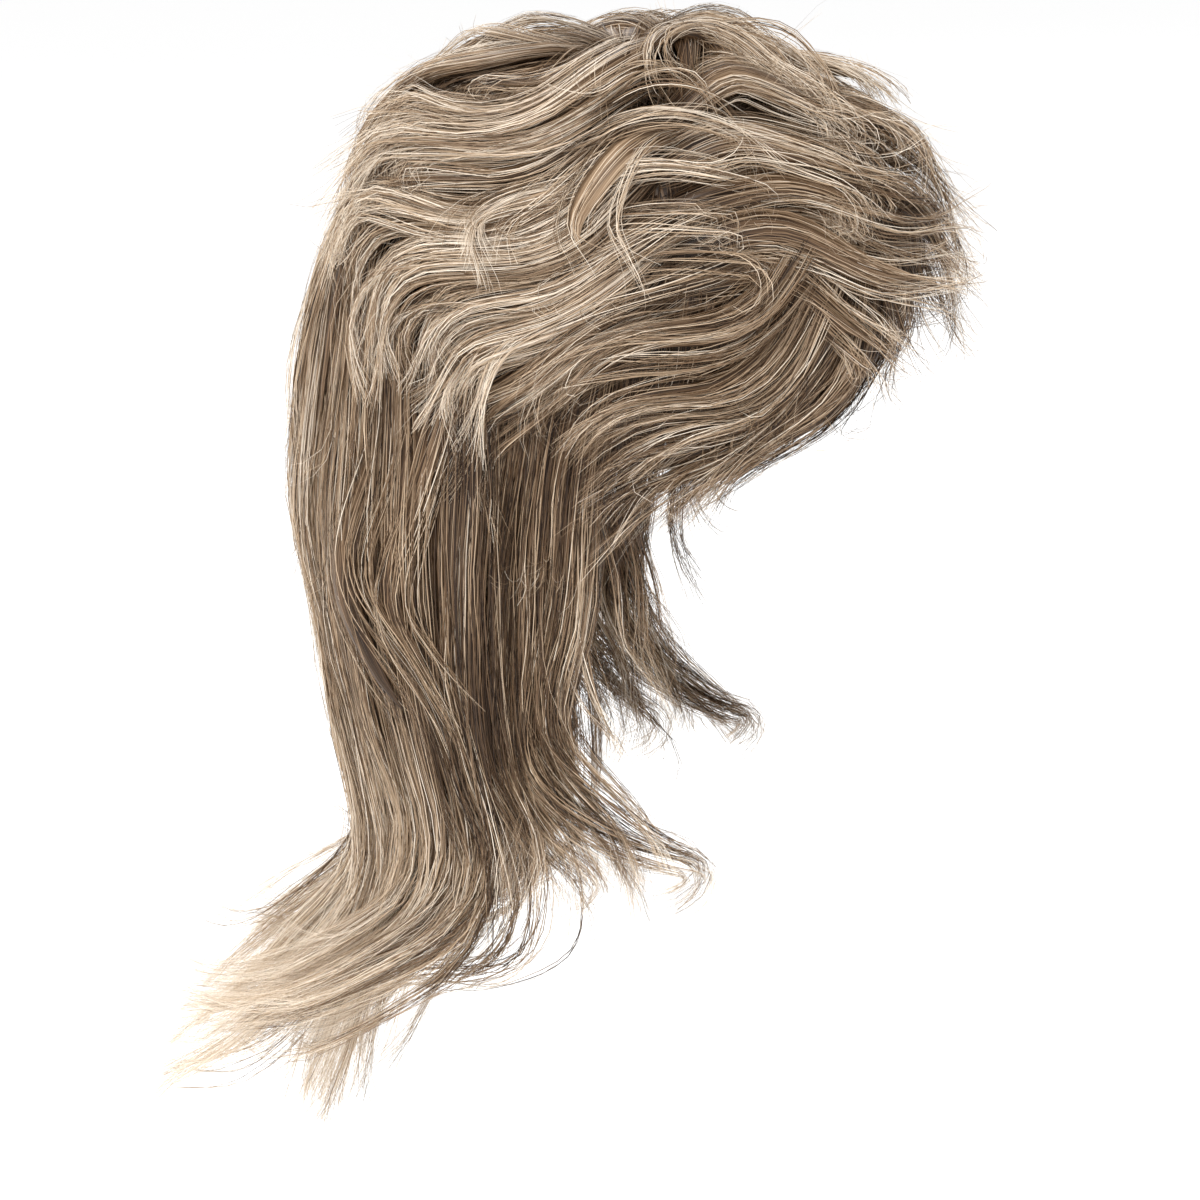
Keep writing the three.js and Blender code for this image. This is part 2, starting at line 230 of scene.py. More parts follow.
print("loose crown locks, a side:", len(LOOSE_CROWN_LOCKS), "in the middle:", len(LOOSE_MIDDLE_LOCKS))

# %% [markdown]
# The fringe is combed twice, forward and back, so thin locks cross there. Some stand out at the brow
# with their ends turned down, and those rows have one more station for the turn. A few lie along the
# edge of the temple and close it.

# %% Loose locks of the fringe
CROSSING_LOCKS = [
    ((94, 52, 14), (78, 52, 23), (58, 56, 26), (38, 68, 28), 14, 6),
    ((98, 70, 14), (80, 68, 23), (56, 72, 26), (34, 84, 28), 14, 6),
    ((98, 88, 14), (80, 86, 22), (58, 88, 25), (38, 98, 27), 14, 6),
    ((96, 104, 13), (78, 104, 21), (58, 106, 23), (40, 114, 25), 14, 6),
    ((92, 118, 12), (74, 118, 19), (56, 122, 21), (38, 132, 23), 13, 6),
    ((56, 96, 13), (76, 104, 21), (98, 118, 23), (118, 124, 24), 13, 6),
    ((54, 112, 12), (74, 122, 20), (96, 134, 22), (114, 148, 24), 13, 6),
    ((58, 128, 11), (76, 138, 18), (96, 152, 21), (112, 172, 23), 13, 6),
]
LOOSE_FRINGE_LOCKS = [
    ((58, 72, 15), (40, 76, 23), (20, 90, 26), (6, 98, 28), (2, 114, 27), 11, 5),
    ((52, 96, 14), (36, 100, 22), (18, 112, 26), (2, 124, 29), (-2, 142, 28), 11, 5),
    ((56, 114, 13), (38, 118, 20), (18, 132, 24), (2, 148, 26), (0, 164, 24), 12, 5),
    ((48, 84, 15), (30, 88, 23), (14, 100, 27), (2, 110, 29), (0, 126, 29), 11, 5),
    ((36, 118, 14), (62, 140, 21), (86, 150, 23), (108, 150, 27), 9, 5),
    ((30, 140, 12), (52, 168, 15), (72, 186, 16), (88, 182, 20), 9, 5),
]
LOOSE_TEMPLE_LOCKS = [
    ((24, 130, 9), (46, 168, 12), (64, 184, 13), (86, 196, 17), 20, 8),
    ((36, 146, 9), (52, 176, 11), (66, 190, 12), (84, 200, 15), 14, 6),
    ((44, 140, 10), (60, 166, 13), (76, 182, 14), (96, 192, 18), 20, 8),
    ((50, 156, 9), (64, 178, 12), (80, 193, 13), (98, 204, 17), 18, 8),
]
print("crossing locks a side:", len(CROSSING_LOCKS), "loose ones at the brow:", len(LOOSE_FRINGE_LOCKS))

# %% [markdown]
# At the ends of the side lengths the hair swings forward and some of it turns up again, in a hook. A
# curl could be added to a straight lock by rule, and most locks get theirs that way. These hooks are
# the ones that shape the outline, so each has stations of its own round the turn.

# %% Loose locks of the feathers and the sides
LOOSE_FEATHER_LOCKS = [
    ((82, 104, 14), (100, 126, 21), (122, 132, 23), (139, 150, 27), 9, 5),
    ((82, 124, 13), (100, 140, 20), (118, 150, 22), (129, 174, 26), 9, 5),
    ((84, 92, 14), (104, 112, 22), (126, 122, 24), (138, 150, 26), 10, 5),
    ((80, 138, 10), (96, 156, 17), (112, 176, 21), (104, 204, 23), 10, 5),
]
LOOSE_SIDE_LOCKS = [
    ((84, 170, 8), (81, 208, 11), (79, 246, 12), (71, 274, 14), 6, 3),
    ((90, 170, 10), (93, 244, 14), (88, 284, 14), (70, 306, 18), 7, 4),
    ((99, 160, 12), (104, 250, 17), (102, 312, 15), (78, 358, 20), 8, 4),
]
SIDE_HOOK_LOCKS = [
    ((104, 302, 15), (89, 323, 17), (77, 331, 18), (66, 338, 18), (70, 348, 17), (79, 351, 17), 14, 6),
    ((98, 292, 15), (84, 316, 17), (74, 326, 18), (64, 335, 18), (67, 345, 17), (75, 349, 17), 12, 6),
    ((108, 305, 15), (104, 320, 17), (97, 333, 18), (88, 344, 18), (92, 351, 17), (99, 350, 17), 14, 6),
    ((112, 300, 16), (107, 318, 17), (99, 332, 18), (90, 345, 18), (93, 353, 17), (100, 353, 17), 12, 6),
]
print("loose locks of the feathers and of the sides:", len(LOOSE_FEATHER_LOCKS), len(LOOSE_SIDE_LOCKS))

# %% [markdown]
# The long back ends in a tail that flicks out behind. Wisps run along its middle to the very tip, and
# on the near side a few locks swing in towards the neck and back out again. They are the thinnest
# ends of the wig, and rows are still the plainest way to lead them.

# %% Loose locks of the back
LOOSE_BACK_LOCKS = [
    ((112, 170, 14), (118, 220, 26), (120, 270, 28), (113, 330, 20), (112, 362, 20), (130, 390, 26), 10, 5),
    ((128, 300, 23), (123, 340, 15), (122, 362, 14), (132, 380, 16), (152, 396, 24), (170, 410, 48), 10, 4),
]
TAIL_WISPS = [
    ((176, 300, 25), (176, 336, 15), (177, 366, 22), (178, 396, 54), (180, 404, 106), 14, 5),
    ((184, 300, 25), (184, 340, 15), (183, 374, 22), (182, 410, 56), (180, 428, 108), 14, 5),
    ((172, 300, 25), (172, 344, 15), (174, 384, 20), (177, 424, 54), (180, 448, 108), 14, 5),
    ((188, 300, 25), (188, 330, 16), (186, 356, 24), (183, 380, 52), (180, 388, 96), 12, 5),
]
HOOK_LOCKS = [
    ((117, 300, 20), (108, 338, 11), (107, 362, 9), (112, 380, 9), (140, 393, 9), (160, 404, 25), 14, 6),
    ((122, 300, 21), (115, 340, 13), (114, 362, 12), (122, 380, 12), (146, 394, 16), (166, 406, 34), 14, 6),
    ((110, 290, 18), (104, 330, 11), (103, 352, 10), (108, 372, 10), (128, 390, 12), (150, 402, 24), 12, 5),
]
print("wisps of the tail:", len(TAIL_WISPS), "hooks:", len(HOOK_LOCKS))

# %% [markdown]
# From the crown, hair also falls straight over the step to the long back. These locks lie side by
# side and are much alike, so they need no table. One route is written as a row is, with turns counted
# from the lock's own, and a loop sets it down round the back of the head. Every second lock ends
# lower, as layered hair does.

# %% Falling locks
FALLING_ROUTE = [(-12, 50, 6), (-4, 88, 12), (0, 128, 18), (2, 180, 26)]
FALLING_END_LIFT = 32
FALLING_SIZE = (17, 8)  # width and depth
FALLING_TURNS = np.linspace(130, 230, 10)
FALLING_ENDS = (215, 262)


def row_at(turn, route, size):
    return (*[(turn + aside, drop, lift) for aside, drop, lift in route], *size)


falling_locks = []
for turn, end in zip(FALLING_TURNS, cycle(FALLING_ENDS)):
    falling_locks.append(row_at(turn, FALLING_ROUTE + [(0, end, FALLING_END_LIFT)], FALLING_SIZE))
print("falling locks:", len(falling_locks))

# %% [markdown]
# On top of the head, hair leaves the whorl in every direction. A ring of locks fills the crown there.
# It is made in the same way, from one route, and lies just below the large locks so that no gap shows
# between them.

# %% Locks round the whorl
WHORL_ROUTE = [(-24, 4, 9), (-12, 26, 17), (0, 52, 19), (0, 80, 21)]
WHORL_SIZE = (20, 8)
WHORL_TURNS = np.linspace(-180, 180, 18, endpoint=False)

whorl_locks = [row_at(turn, WHORL_ROUTE, WHORL_SIZE) for turn in WHORL_TURNS]
print("locks round the whorl:", len(whorl_locks))

# %% [markdown]
# ## From a row to a lock
#
# A row holds a lock's route and size. `PLAIN` lists what else makes it look like hair, and a tier
# names only what it does otherwise. The root is drawn back and down, so that a lock comes out from
# under its neighbours and no end of it shows there. The far side of the wig could have tables of its
# own, but it isn't seen as closely. So it repeats the near side, a little shifted and shorter, because
# no two sides are combed alike.

# %% From a row to a lock
PLAIN = {
    "tone": 0.0,  # how much lighter it is than the mixed shades
    # the lighter tip is partly painted light, which thin ends let through
    "tip_tone": 0.08,  # how much lighter its tip is
    "airy": 0.2,  # share of its length at the tip that is loose fibres alone
    "fan": 1.0,  # how far its wisps fan out
    "wisp": 4.2,  # width of a wisp in mm
    "curl": 0.07,  # how tightly its end turns, as one over a radius in mm
    "sway": 5.0,  # size of its waves in mm
    "loose": 1.0,  # how freely strays leave it
    "overhang": 0.5,  # how far round its underside fibres sit, in radians
    "under": False,  # under-hair has no strays
    "body": True,  # a body fills it
}
ROOT_REACH = 0.6  # how far a root is drawn back, as a share of the way to the next station
ROOT_SINK = 8
ROOT_LEAST_LIFT = 4
ROOT_LEAST_DROP = 3
THINNEST_BODY = 14  # a lock has to be wider than this to get a body
FAR_SIDE_SHIFT = {"turn": 3, "drop": 4}
SIDE_TOP = 140  # the drop from which the far side's lengths are shortened


def locks_of(rows, **finish):
    locks = []
    for *stations, width, depth in rows:
        (turn, drop, lift), (next_turn, next_drop, _) = stations[:2]
        root_turn = turn + (turn - next_turn) * ROOT_REACH
        root_drop = max(drop + (drop - next_drop) * ROOT_REACH, ROOT_LEAST_DROP)
        root = (root_turn, root_drop, max(lift - ROOT_SINK, ROOT_LEAST_LIFT))
        lock = {**PLAIN, "stations": [root, *stations], "width": width, "depth": depth, **finish}
        lock["body"] = width > THINNEST_BODY
        locks.append(lock)
    return locks


def far_side(row, length=1.0):
    *stations, width, depth = row
    shifted = []
    for turn, drop, lift in stations:
        shorter = SIDE_TOP + (drop - SIDE_TOP) * length
        shifted.append((-turn - FAR_SIDE_SHIFT["turn"], shorter + FAR_SIDE_SHIFT["drop"], lift))
    return (*shifted, width, depth)


def one_side(rows, sign, length=1.0):
    return rows if sign > 0 else [far_side(row, length) for row in rows]


def both_sides(rows):
    return rows + one_side(rows, -1)


print("root of the first lock, as turn, drop, lift:", locks_of(CROWN_LOCKS)[0]["stations"][0])

# %% [markdown]
# ## The long back and its tail
#
# The back is a curtain of long locks side by side. A sheet of cloth would hang like it, but would not
# part into locks. So each lock follows one profile, a row of (drop, lift) for each level, and then
# leaves it for the tail, where the ends flick out behind and hang lower by turns. A second, inner
# layer lies closer to the neck, so the curtain has a thickness. The ends are thinned on the real wig,
# so here they are airy, and lighter towards the tip: partly lighter ends, partly painted light that
# thin ends let through.

# %% Locks of the back
BACK_PROFILE = [(84, 8), (140, 17), (175, 23), (212, 33), (255, 32), (295, 25), (336, 14)]
BACK_LEAST_LIFT = 7
TAIL_LOCKS = 9
TAIL_SPAN = 62  # degrees of turn from the middle of the back to the outermost lock
TAIL_TIP_SPAN = 26  # and to its tip
TAIL_SIDE_FALL = 0.24  # how much closer to the head the outermost lock lies
TAIL_BEND = {"turn": 4, "drop": 364, "lift": 16, "clear": 3}  # where the tail starts to flick out
TAIL_OUTER_END = 402
TAIL_ENDS = [(448, 72), (418, 96), (468, 40), (438, 100)]  # drop and lift of the tips, by turns
INNER_LAYER = 0.55  # share of the lift that the inner layer has
BACK_WIDTH = 42
BACK_DEPTH = 15
BACK_FINISH = {"tip_tone": 0.55, "airy": 0.24, "fan": 2.2, "wisp": 9.0, "curl": -0.022, "sway": 2.4}


def back_lock(turn, end, share, tone, overhang):
    off = (turn - 180) / TAIL_SPAN
    side_fall = 1 - TAIL_SIDE_FALL * off**2
    stations = []
    for drop, lift in BACK_PROFILE:
        stations.append((turn, drop, max(lift * share * side_fall, BACK_LEAST_LIFT)))
    bend_lift = TAIL_BEND["lift"] * share + TAIL_BEND["clear"]
    stations.append((turn - TAIL_BEND["turn"] * off, TAIL_BEND["drop"], bend_lift))
    end_drop, end_lift = end
    tip_drop = end_drop + (TAIL_OUTER_END - end_drop) * off**2
    stations.append((180 + TAIL_TIP_SPAN * off, tip_drop, end_lift * share**0.5))
    finish = {**PLAIN, **BACK_FINISH, "tone": tone, "overhang": overhang}
    return {**finish, "stations": stations, "width": BACK_WIDTH, "depth": BACK_DEPTH}


outer_turns = np.linspace(180 - TAIL_SPAN, 180 + TAIL_SPAN, TAIL_LOCKS)
inner_turns = (outer_turns[1:] + outer_turns[:-1]) / 2
outer_back = []
for turn, end in zip(outer_turns, cycle(TAIL_ENDS)):
    outer_back.append(back_lock(turn, end, share=1, tone=-0.02, overhang=0.5))
# the inner layer is darker: partly painted shade of the outer one, partly the darker inner rows of a wig
inner_back = []
for turn, end in zip(inner_turns, cycle(TAIL_ENDS)):
    inner_back.append(back_lock(turn, end, share=INNER_LAYER, tone=-0.16, overhang=1.5))
print("long back locks, outside and inside:", len(outer_back), len(inner_back))

# %% [markdown]
# ## Under-hair
#
# Below the locks lies shorter hair that hides the cap. A dark shell could stand in for it, but it
# would show as a shell wherever the locks part. So it is hair too. Its locks are alike, and loops make
# them: a swirl round the crown, and rows of low locks under the fringe, the feathers and the sides.

# %% Rows of under-hair
# under-hair is darker: partly painted shade of the locks above, partly the darker inner rows of a wig
UNDER_FINISH = {"tone": -0.1, "sway": 1.5, "under": True}
SWIRL_ROUTE = [(0, 4, 8), (8, 28, 13), (14, 54, 15), (18, 84, 13)]
SWIRL_SIZE = (36, 10)
SWIRL_TURNS = np.linspace(-180, 180, 16, endpoint=False)
LOW_PROFILE = [(0, 8), (0.35, 10), (0.7, 10), (1, 8)]  # share of the way down, and lift
LOW_DEPTH = 9


def low_row(turns, drops, lean, width):
    """Low locks side by side, which lean over by some degrees of turn on their way down."""
    top, bottom = drops
    rows = []
    for turn in turns:
        stations = []
        for share, lift in LOW_PROFILE:
            stations.append((turn + lean * share, top + (bottom - top) * share, lift))
        rows.append((*stations, width, LOW_DEPTH))
    return rows


def under_hair(rows, **changes):
    locks = []
    for *stations, width, depth in rows:
        lock = {**PLAIN, **UNDER_FINISH, **changes}
        locks.append({**lock, "stations": stations, "width": width, "depth": depth})
    return locks


swirl_rows = [row_at(turn, SWIRL_ROUTE, SWIRL_SIZE) for turn in SWIRL_TURNS]
print("locks in the swirl of the crown:", len(swirl_rows))

# %% [markdown]
# ## From stations to a path
#
# A lock bends smoothly from root to tip. Blender's Bezier curves could join its stations, but their
# handles would have to be set. A centripetal Catmull-Rom spline needs none: it passes through each
# station and doesn't overshoot where stations lie unevenly. Along the path we also need two
# directions, across the lock and away from the head. Carrying the second one along without twisting
# keeps a curled lock from spinning.

# %% The path of a lock
FINE_STEPS = 96


def route(stations, steps):
    knots = np.array(stations, float)
    knots = np.vstack([2 * knots[0] - knots[1], knots, 2 * knots[-1] - knots[-2]])
    gaps = np.maximum(np.linalg.norm(np.diff(knots, axis=0), axis=1) ** 0.5, 1e-4)
    spans = len(stations) - 1
    at = np.linspace(0, spans, steps + 1)
    i = np.minimum(at.astype(int), spans - 1)
    f = (at - i)[:, None]
    p0, p1, p2, p3 = (knots[i + k] for k in range(4))
    g0, g1, g2 = (gaps[i + k][:, None] for k in range(3))
    start = g1 * ((p1 - p0) / g0 - (p2 - p0) / (g0 + g1) + (p2 - p1) / g1)
    end = g1 * ((p2 - p1) / g1 - (p3 - p1) / (g1 + g2) + (p3 - p2) / g2)
    bend = 2 * p1 - 2 * p2 + start + end
    return p1 + start * f + (3 * p2 - 3 * p1 - 2 * start - end) * f**2 + bend * f**3


def path_of(shape, steps):
    """Points at equal steps along a lock, and at each the directions across it and away from the head."""
    fine = route(shape["stations"], FINE_STEPS)
    points = place(*fine.T)
    way = np.concatenate([[0], np.cumsum(np.linalg.norm(np.diff(points, axis=0), axis=1))])
    at = np.linspace(0, way[-1], steps + 1)
    turn, drop, lift = (np.interp(at, way, column) for column in fine.T)
    spine = place(turn, drop, lift)
    tangent = unit(np.gradient(spine, axis=0))
    face = np.empty_like(spine)
    carried = outward(turn[0], drop[0])
    for step in range(steps + 1):
        carried = unit(carried - tangent[step] * np.dot(carried, tangent[step]))
        face[step] = carried
    return spine, np.cross(face, tangent), face


print("tip of a middle back lock, mm:", path_of(outer_back[4], 20)[0][-1].round(1))

# %% [markdown]
# ## Dressing the locks
#
# The fibres of such a wig are set in waves by heat, and neighbouring locks wave together. Each lock
# could get a wave of its own, but then neighbours would cross. So the waves come from one field in
# space, a sum of a few sines that run in chance directions. Chance is always drawn from a generator
# with a fixed seed, so every run gives the same wig.

# %% Waves
WAVE_COUNT = 6
WAVE_MM = (75, 125)
WAVE_SEED = 7
field = np.random.default_rng(WAVE_SEED)
directions = unit(field.normal(size=(WAVE_COUNT, 3)))
wave_ways = directions * 2 * np.pi / field.uniform(*WAVE_MM, (WAVE_COUNT, 1))
wave_starts = field.uniform(0, 2 * np.pi, (WAVE_COUNT, 2))


def combed(points):
    """The wave at a place, across a lock and away from the head."""
    return np.sin((points @ wave_ways.T)[..., None] + wave_starts).sum(axis=-2) / WAVE_COUNT**0.5


print("size of the wave at the top of the head:", combed(place(0, 0, 0)).round(2))

# %% [markdown]
# A comb never leaves a lock whole. Thin strays split off beside it and leave its route more and more
# towards the tip. There are hundreds, too many for rows of their own. So each borrows the stations of
# its lock, and chance moves all of it a little and its tip a lot.

# %% Strays
STRAY_BESIDE = (3.5, 4)  # how far chance moves all of a stray, in degrees of turn and mm of drop
STRAY_TIP = (5, 6, 2)  # and its tip, in degrees of turn, mm of drop and mm of lift
STRAY_WIDTH = (0.2, 0.42)  # share of its lock's width
STRAY_DEPTH = 0.5
STRAY_LIFT = (0, 2.5)
STRAY_SWAY = 1.15
STRAY_TONE = 0.02
STRAY_CONTRAST = 0.1


def stray(shape, rng):
    """A thin lock beside another, which leaves its route more and more towards the tip."""
    beside, below = rng.normal(0, STRAY_BESIDE) * shape["loose"]
    tip_turn, tip_drop, tip_lift = rng.normal(0, STRAY_TIP) * shape["loose"] * shape["fan"] ** 0.5
    last = len(shape["stations"]) - 1
    stations = []
    for k, (turn, drop, lift) in enumerate(shape["stations"]):
        out = (k / last) ** 2
        lift += rng.uniform(*STRAY_LIFT) + tip_lift * out
        drop += below * min(k, 1) + tip_drop * out
        stations.append((turn + beside + tip_turn * out, drop, lift))
    return {
        **shape,
        "stations": stations,
        "width": shape["width"] * rng.uniform(*STRAY_WIDTH),
        "depth": shape["depth"] * STRAY_DEPTH,
        "tone": shape["tone"] + rng.normal(STRAY_TONE, STRAY_CONTRAST),
        "sway": shape["sway"] * STRAY_SWAY,
        "body": False,
    }


print("a stray has", STRAY_WIDTH, "of the width of its lock")

# %% [markdown]
# Dyed hair isn't of one colour: bands of lighter and darker hair run along each lock, side by side. An
# image could paint them, but a tone for each band is all they need, and it works at any size. Here a
# lock gets its bands, and its path is bent by the wave. Its weight, from its length and width, later
# decides how many fibres it gets.

# %% The bent path and the bands of a lock
BANDS = 9
BAND_CONTRAST = 0.15
WAVE_GROWTH = (0, 0.5)  # share of the length over which the wave grows to its full size
STREAK_RANGE = 500  # locks and fibres start in a streak pattern this many mm wide, by chance


def smooth(low, high, x):
    s = np.clip((x - low) / (high - low), 0, 1)
    return s * s * (3 - 2 * s)


def dressed(shape, rng, steps, share):
    """A lock with its path, bent by the wave, and its bands of colour."""
    spine, across, face = path_of(shape, steps)
    t = np.linspace(0, 1, steps + 1)
    length = np.linalg.norm(np.diff(spine, axis=0), axis=1).sum()
    bend = combed(spine) * shape["sway"] * smooth(*WAVE_GROWTH, t)[:, None]
    return {
        **shape,
        "path": (spine + across * bend[:, :1] + face * bend[:, 1:], across, face),
        "length": length,
        "band_angle": np.linspace(-np.pi / 2, 1.5 * np.pi, BANDS),
        "band_tone": rng.normal(0, BAND_CONTRAST, BANDS),
        "streak": rng.uniform(0, STREAK_RANGE),
        "weight": share * length * shape["width"],
    }


print("bands round a lock:", BANDS)

# %% [markdown]
# ## The tiers
#
# The hair of a wig is sewn to its cap in tiers. One mesh could hold it all, but a mesh for each tier
# keeps to the nodes of the CAD model and can be looked at by itself. A tier has its own seed, so that
# a change to one leaves the others as they are. It also has a budget of triangles, and the budgets
# keep the whole wig under a million and each piece under 200,000.

# %% Dress a tier
LOCK_CONTRAST = 0.06
CURL_SPREAD = {"lock": 0.5, "wisp": 0.35, "fibre": 0.15}  # how far chance turns a curl
STRAY_SPACING = 7  # mm of a lock's width for each stray
MOST_STRAYS = 4
STRAY_SHARE = 1.5  # fibres that a stray gets for its size, where a lock gets 1
UNDER_SHARE = 0.7  # and under-hair


def tier(name, node, locks, seed, budget, steps=16):
    rng = np.random.default_rng(seed)
    shapes = []
    for shape in locks:
        turned = rng.normal(0, CURL_SPREAD["lock"], 2)
        shape = {**shape, "tone": shape["tone"] + rng.normal(0, LOCK_CONTRAST), "turned": turned}
        shapes.append(dressed(shape, rng, steps, UNDER_SHARE if shape["under"] else 1))
        strays = int(np.clip(shape["width"] / STRAY_SPACING, 1, MOST_STRAYS))
        for _ in range(0 if shape["under"] else strays):
            shapes.append(dressed(stray(shape, rng), rng, steps, STRAY_SHARE))
    return {"name": name, "node": node, "rng": rng, "shapes": shapes, "budget": budget, "steps": steps}


crown_trial = tier("trial", "crown_layer", locks_of(CROWN_LOCKS), seed=1, budget=1000)
print("large crown locks of one side, with strays:", len(crown_trial["shapes"]))

# %% [markdown]
# The crown is given the lightest tone of the tiers. Its large locks alone could cover it, but gaps
# would open wherever two of them part. So its list runs from the inside out: under-hair, the ring
# round the whorl, then the large and the loose locks.

# %% Locks of the crown
crown_rows = both_sides(CROWN_LOCKS + LOOSE_CROWN_LOCKS) + CROWN_MIDDLE_LOCKS + LOOSE_MIDDLE_LOCKS
crown_locks = under_hair(swirl_rows) + locks_of(whorl_locks, tone=0.1, under=True)
crown_locks += locks_of(crown_rows, tone=0.24, wisp=5.5)
print("locks of the crown before strays:", len(crown_locks))

# %% [markdown]
# The fringe comes forward over the brow, and at the temples it runs down and back. Below it, low
# under-hair hides the front edge of the cap: one row across the brow, and three on each side that
# close the temples. One thick row could do it, but rows that lean like the locks above them don't show.
# The locks of the temples lie close, so they stray and curl less than others.

# %% Locks of the brow
brow_locks = under_hair(low_row(np.linspace(-72, 72, 11), (68, 128), lean=0, width=32))
for sign in (1, -1):
    brow_locks += under_hair(low_row(sign * np.linspace(2, 46, 6), (110, 190), lean=sign * 46, width=26))
    brow_locks += under_hair(low_row(sign * np.linspace(48, 84, 5), (96, 190), lean=sign * 10, width=22))
brow_locks += locks_of(both_sides(TEMPLE_LOCKS + LOOSE_TEMPLE_LOCKS), tone=-0.05, loose=0.5, curl=0.015)
front_rows = BROW_MIDDLE_LOCKS + both_sides(FORWARD_LOCKS + CROSSING_LOCKS + LOOSE_FRINGE_LOCKS)
brow_locks += locks_of(front_rows, tone=0.09, wisp=7.5)
for sign in (1, -1):
    brow_locks += under_hair(low_row(sign * np.linspace(68, 84, 3), (124, 206), lean=sign * 8, width=20))
print("locks of the brow before strays:", len(brow_locks))

# %% [markdown]
# Low hair and the inner layer of the long back close the nape, because light would shine through one
# layer of locks. Over it come the waves behind the ears and the falling locks, and last the loose
# locks, wisps and hooks of the tail. These take the finish of the back, so that their thinned ends are
# as light and airy as the tail's.

# %% Locks of the nape, the waves and the tail
nape_rows = low_row(np.linspace(120, 240, 10), (62, 150), lean=0, width=28)
nape_locks = under_hair(nape_rows) + inner_back
wave_locks = locks_of(both_sides(WAVE_LOCKS), tone=0.0, sway=3, curl=0.02)
wave_locks += locks_of(falling_locks, tone=0.02, sway=3.5, tip_tone=0.1)
wave_locks += locks_of(both_sides(LOOSE_BACK_LOCKS) + TAIL_WISPS, **{**BACK_FINISH, "fan": 1.4})
# the hooks are made lighter with painted light, because they hang in shade
wave_locks += locks_of(HOOK_LOCKS, **{**BACK_FINISH, "tone": 0.3, "wisp": 3.6, "fan": 1.4})
print("locks of the nape, and of the waves and the tail:", len(nape_locks), len(wave_locks))

# %% [markdown]
# Four pieces go round the whole head. The long back is split into an inner and an outer one, because
# it would pass 200,000 triangles as one. Long locks have more steps along their path, so that their
# curves stay round.

# %% Tiers of the whole head
tiers = [
    tier("crown_hair", "crown_layer", crown_locks, seed=11, budget=192_000),
    tier("fringe_hair", "fringe", brow_locks, seed=12, budget=192_000),
    tier("nape_hair", "back_lengths", nape_locks, seed=20, budget=100_000, steps=20),
    tier("back_hair", "back_lengths", outer_back + wave_locks, seed=21, budget=197_000, steps=22),
]
for each in tiers:
    print(f"{each['name']}: {len(each['shapes'])} locks with strays")

# %% [markdown]
# The feathers and the side lengths come once for each side, so one loop makes both. A mirror would be
# quicker, but a mirrored wig looks made by a machine: the left has seeds of its own, and its lengths
# are shorter. A hook starts low on the side lengths, so it gets one more station above its first, to
# leave them without a kink.

# %% Tiers of the two sides
FAR_SIDE_LENGTH = 0.86
SIDE_FINISH = {"tone": -0.08, "tip_tone": 0.3, "airy": 0.28, "fan": 1.3, "wisp": 5.0}
SIDE_FINISH |= {"curl": 0.035, "sway": 2.4}
SIDE_HOOK_FINISH = {"tone": 0.02, "tip_tone": 0.4, "airy": 0.3, "fan": 0.8, "wisp": 7.0}
SIDE_HOOK_FINISH |= {"curl": 0.005, "sway": 2.4, "loose": 0.6}
HOOK_RISE = 40


def risen(row):
    """A row with one more station, straight above its first."""
    turn, drop, lift = row[0]
    return ((turn, drop - HOOK_RISE, lift), *row)


for side, sign in (("right", 1), ("left", -1)):
    ear_rows = low_row(sign * np.linspace(72, 112, 6), (68, 150), lean=sign * 12, width=24)
    feather_rows = one_side(FEATHER_LOCKS + LOOSE_FEATHER_LOCKS, sign)
    # under-hair over the ear is darker than other under-hair: painted shade under the feathers
    feather_locks = under_hair(ear_rows, tone=-0.24) + locks_of(feather_rows, tone=0.1, curl=0.03)
    feather_names = (f"feather_hair_{side}", f"feathers_{side}")
    tiers.append(tier(*feather_names, feather_locks, seed=14 + sign, budget=84_000))
    low_rows = low_row(sign * np.linspace(93, 114, 4), (138, 250), lean=0, width=20)
    side_rows = one_side(SIDE_LOCKS + LOOSE_SIDE_LOCKS, sign, FAR_SIDE_LENGTH)
    side_locks = under_hair(low_rows) + locks_of(side_rows, **SIDE_FINISH)
    hook_rows = one_side([risen(row) for row in SIDE_HOOK_LOCKS], sign, FAR_SIDE_LENGTH)
    side_locks += locks_of(hook_rows, **SIDE_HOOK_FINISH)
    side_names = (f"side_hair_{side}", f"side_lengths_{side}")
    tiers.append(tier(*side_names, side_locks, seed=18 + sign, budget=66_000, steps=20))
for each in tiers[-4:]:
    print(f"{each['name']}: {len(each['shapes'])} locks with strays")

# %% [markdown]
# ## Shade between the locks
#
# Hair under other hair is darker: less light gets there, and a wig's inner rows are often the
# darker shade. Light paths show some of it, but they see thin ribbons, not a full head of hair. So
# the rest is painted into the colour as shade. For it we note how far out the hair reaches in each
# direction from the middle of the head, in patches of a few degrees.

# %% How far out the hair reaches
HEAD_MIDDLE = np.array([0, 0, -CROWN_HEIGHT])
PATCH = 4  # degrees
PATCHES_ROUND = 360 // PATCH
FACE_STEPS = 60
FACE_COLUMNS = 5
FACE_SHARE = 0.4  # how far out on a lock its outer face is read, as a share of its width and depth


def patch_of(points):
    """The patch of directions that a point lies in, from the middle of the head, and its distance."""
    ray = points - HEAD_MIDDLE
    distance = np.linalg.norm(ray, axis=-1)
    row = (np.degrees(np.arccos(ray[..., 2] / distance)) / PATCH).astype(int)
    columns = np.maximum(np.sin(np.radians((row + 0.5) * PATCH)) * PATCHES_ROUND, 1).astype(int)
    column = (np.arctan2(ray[..., 0], ray[..., 1]) / (2 * np.pi) + 0.5) * columns
    return row * PATCHES_ROUND + column.astype(int) % columns, distance


def along_path(values, at):
    """Values along a path, read at places that may lie between two of its steps."""
    i = np.clip(at.astype(int), 0, len(values) - 2)
    f = (at - i)[..., None]
    return values[i] * (1 - f) + values[i + 1] * f


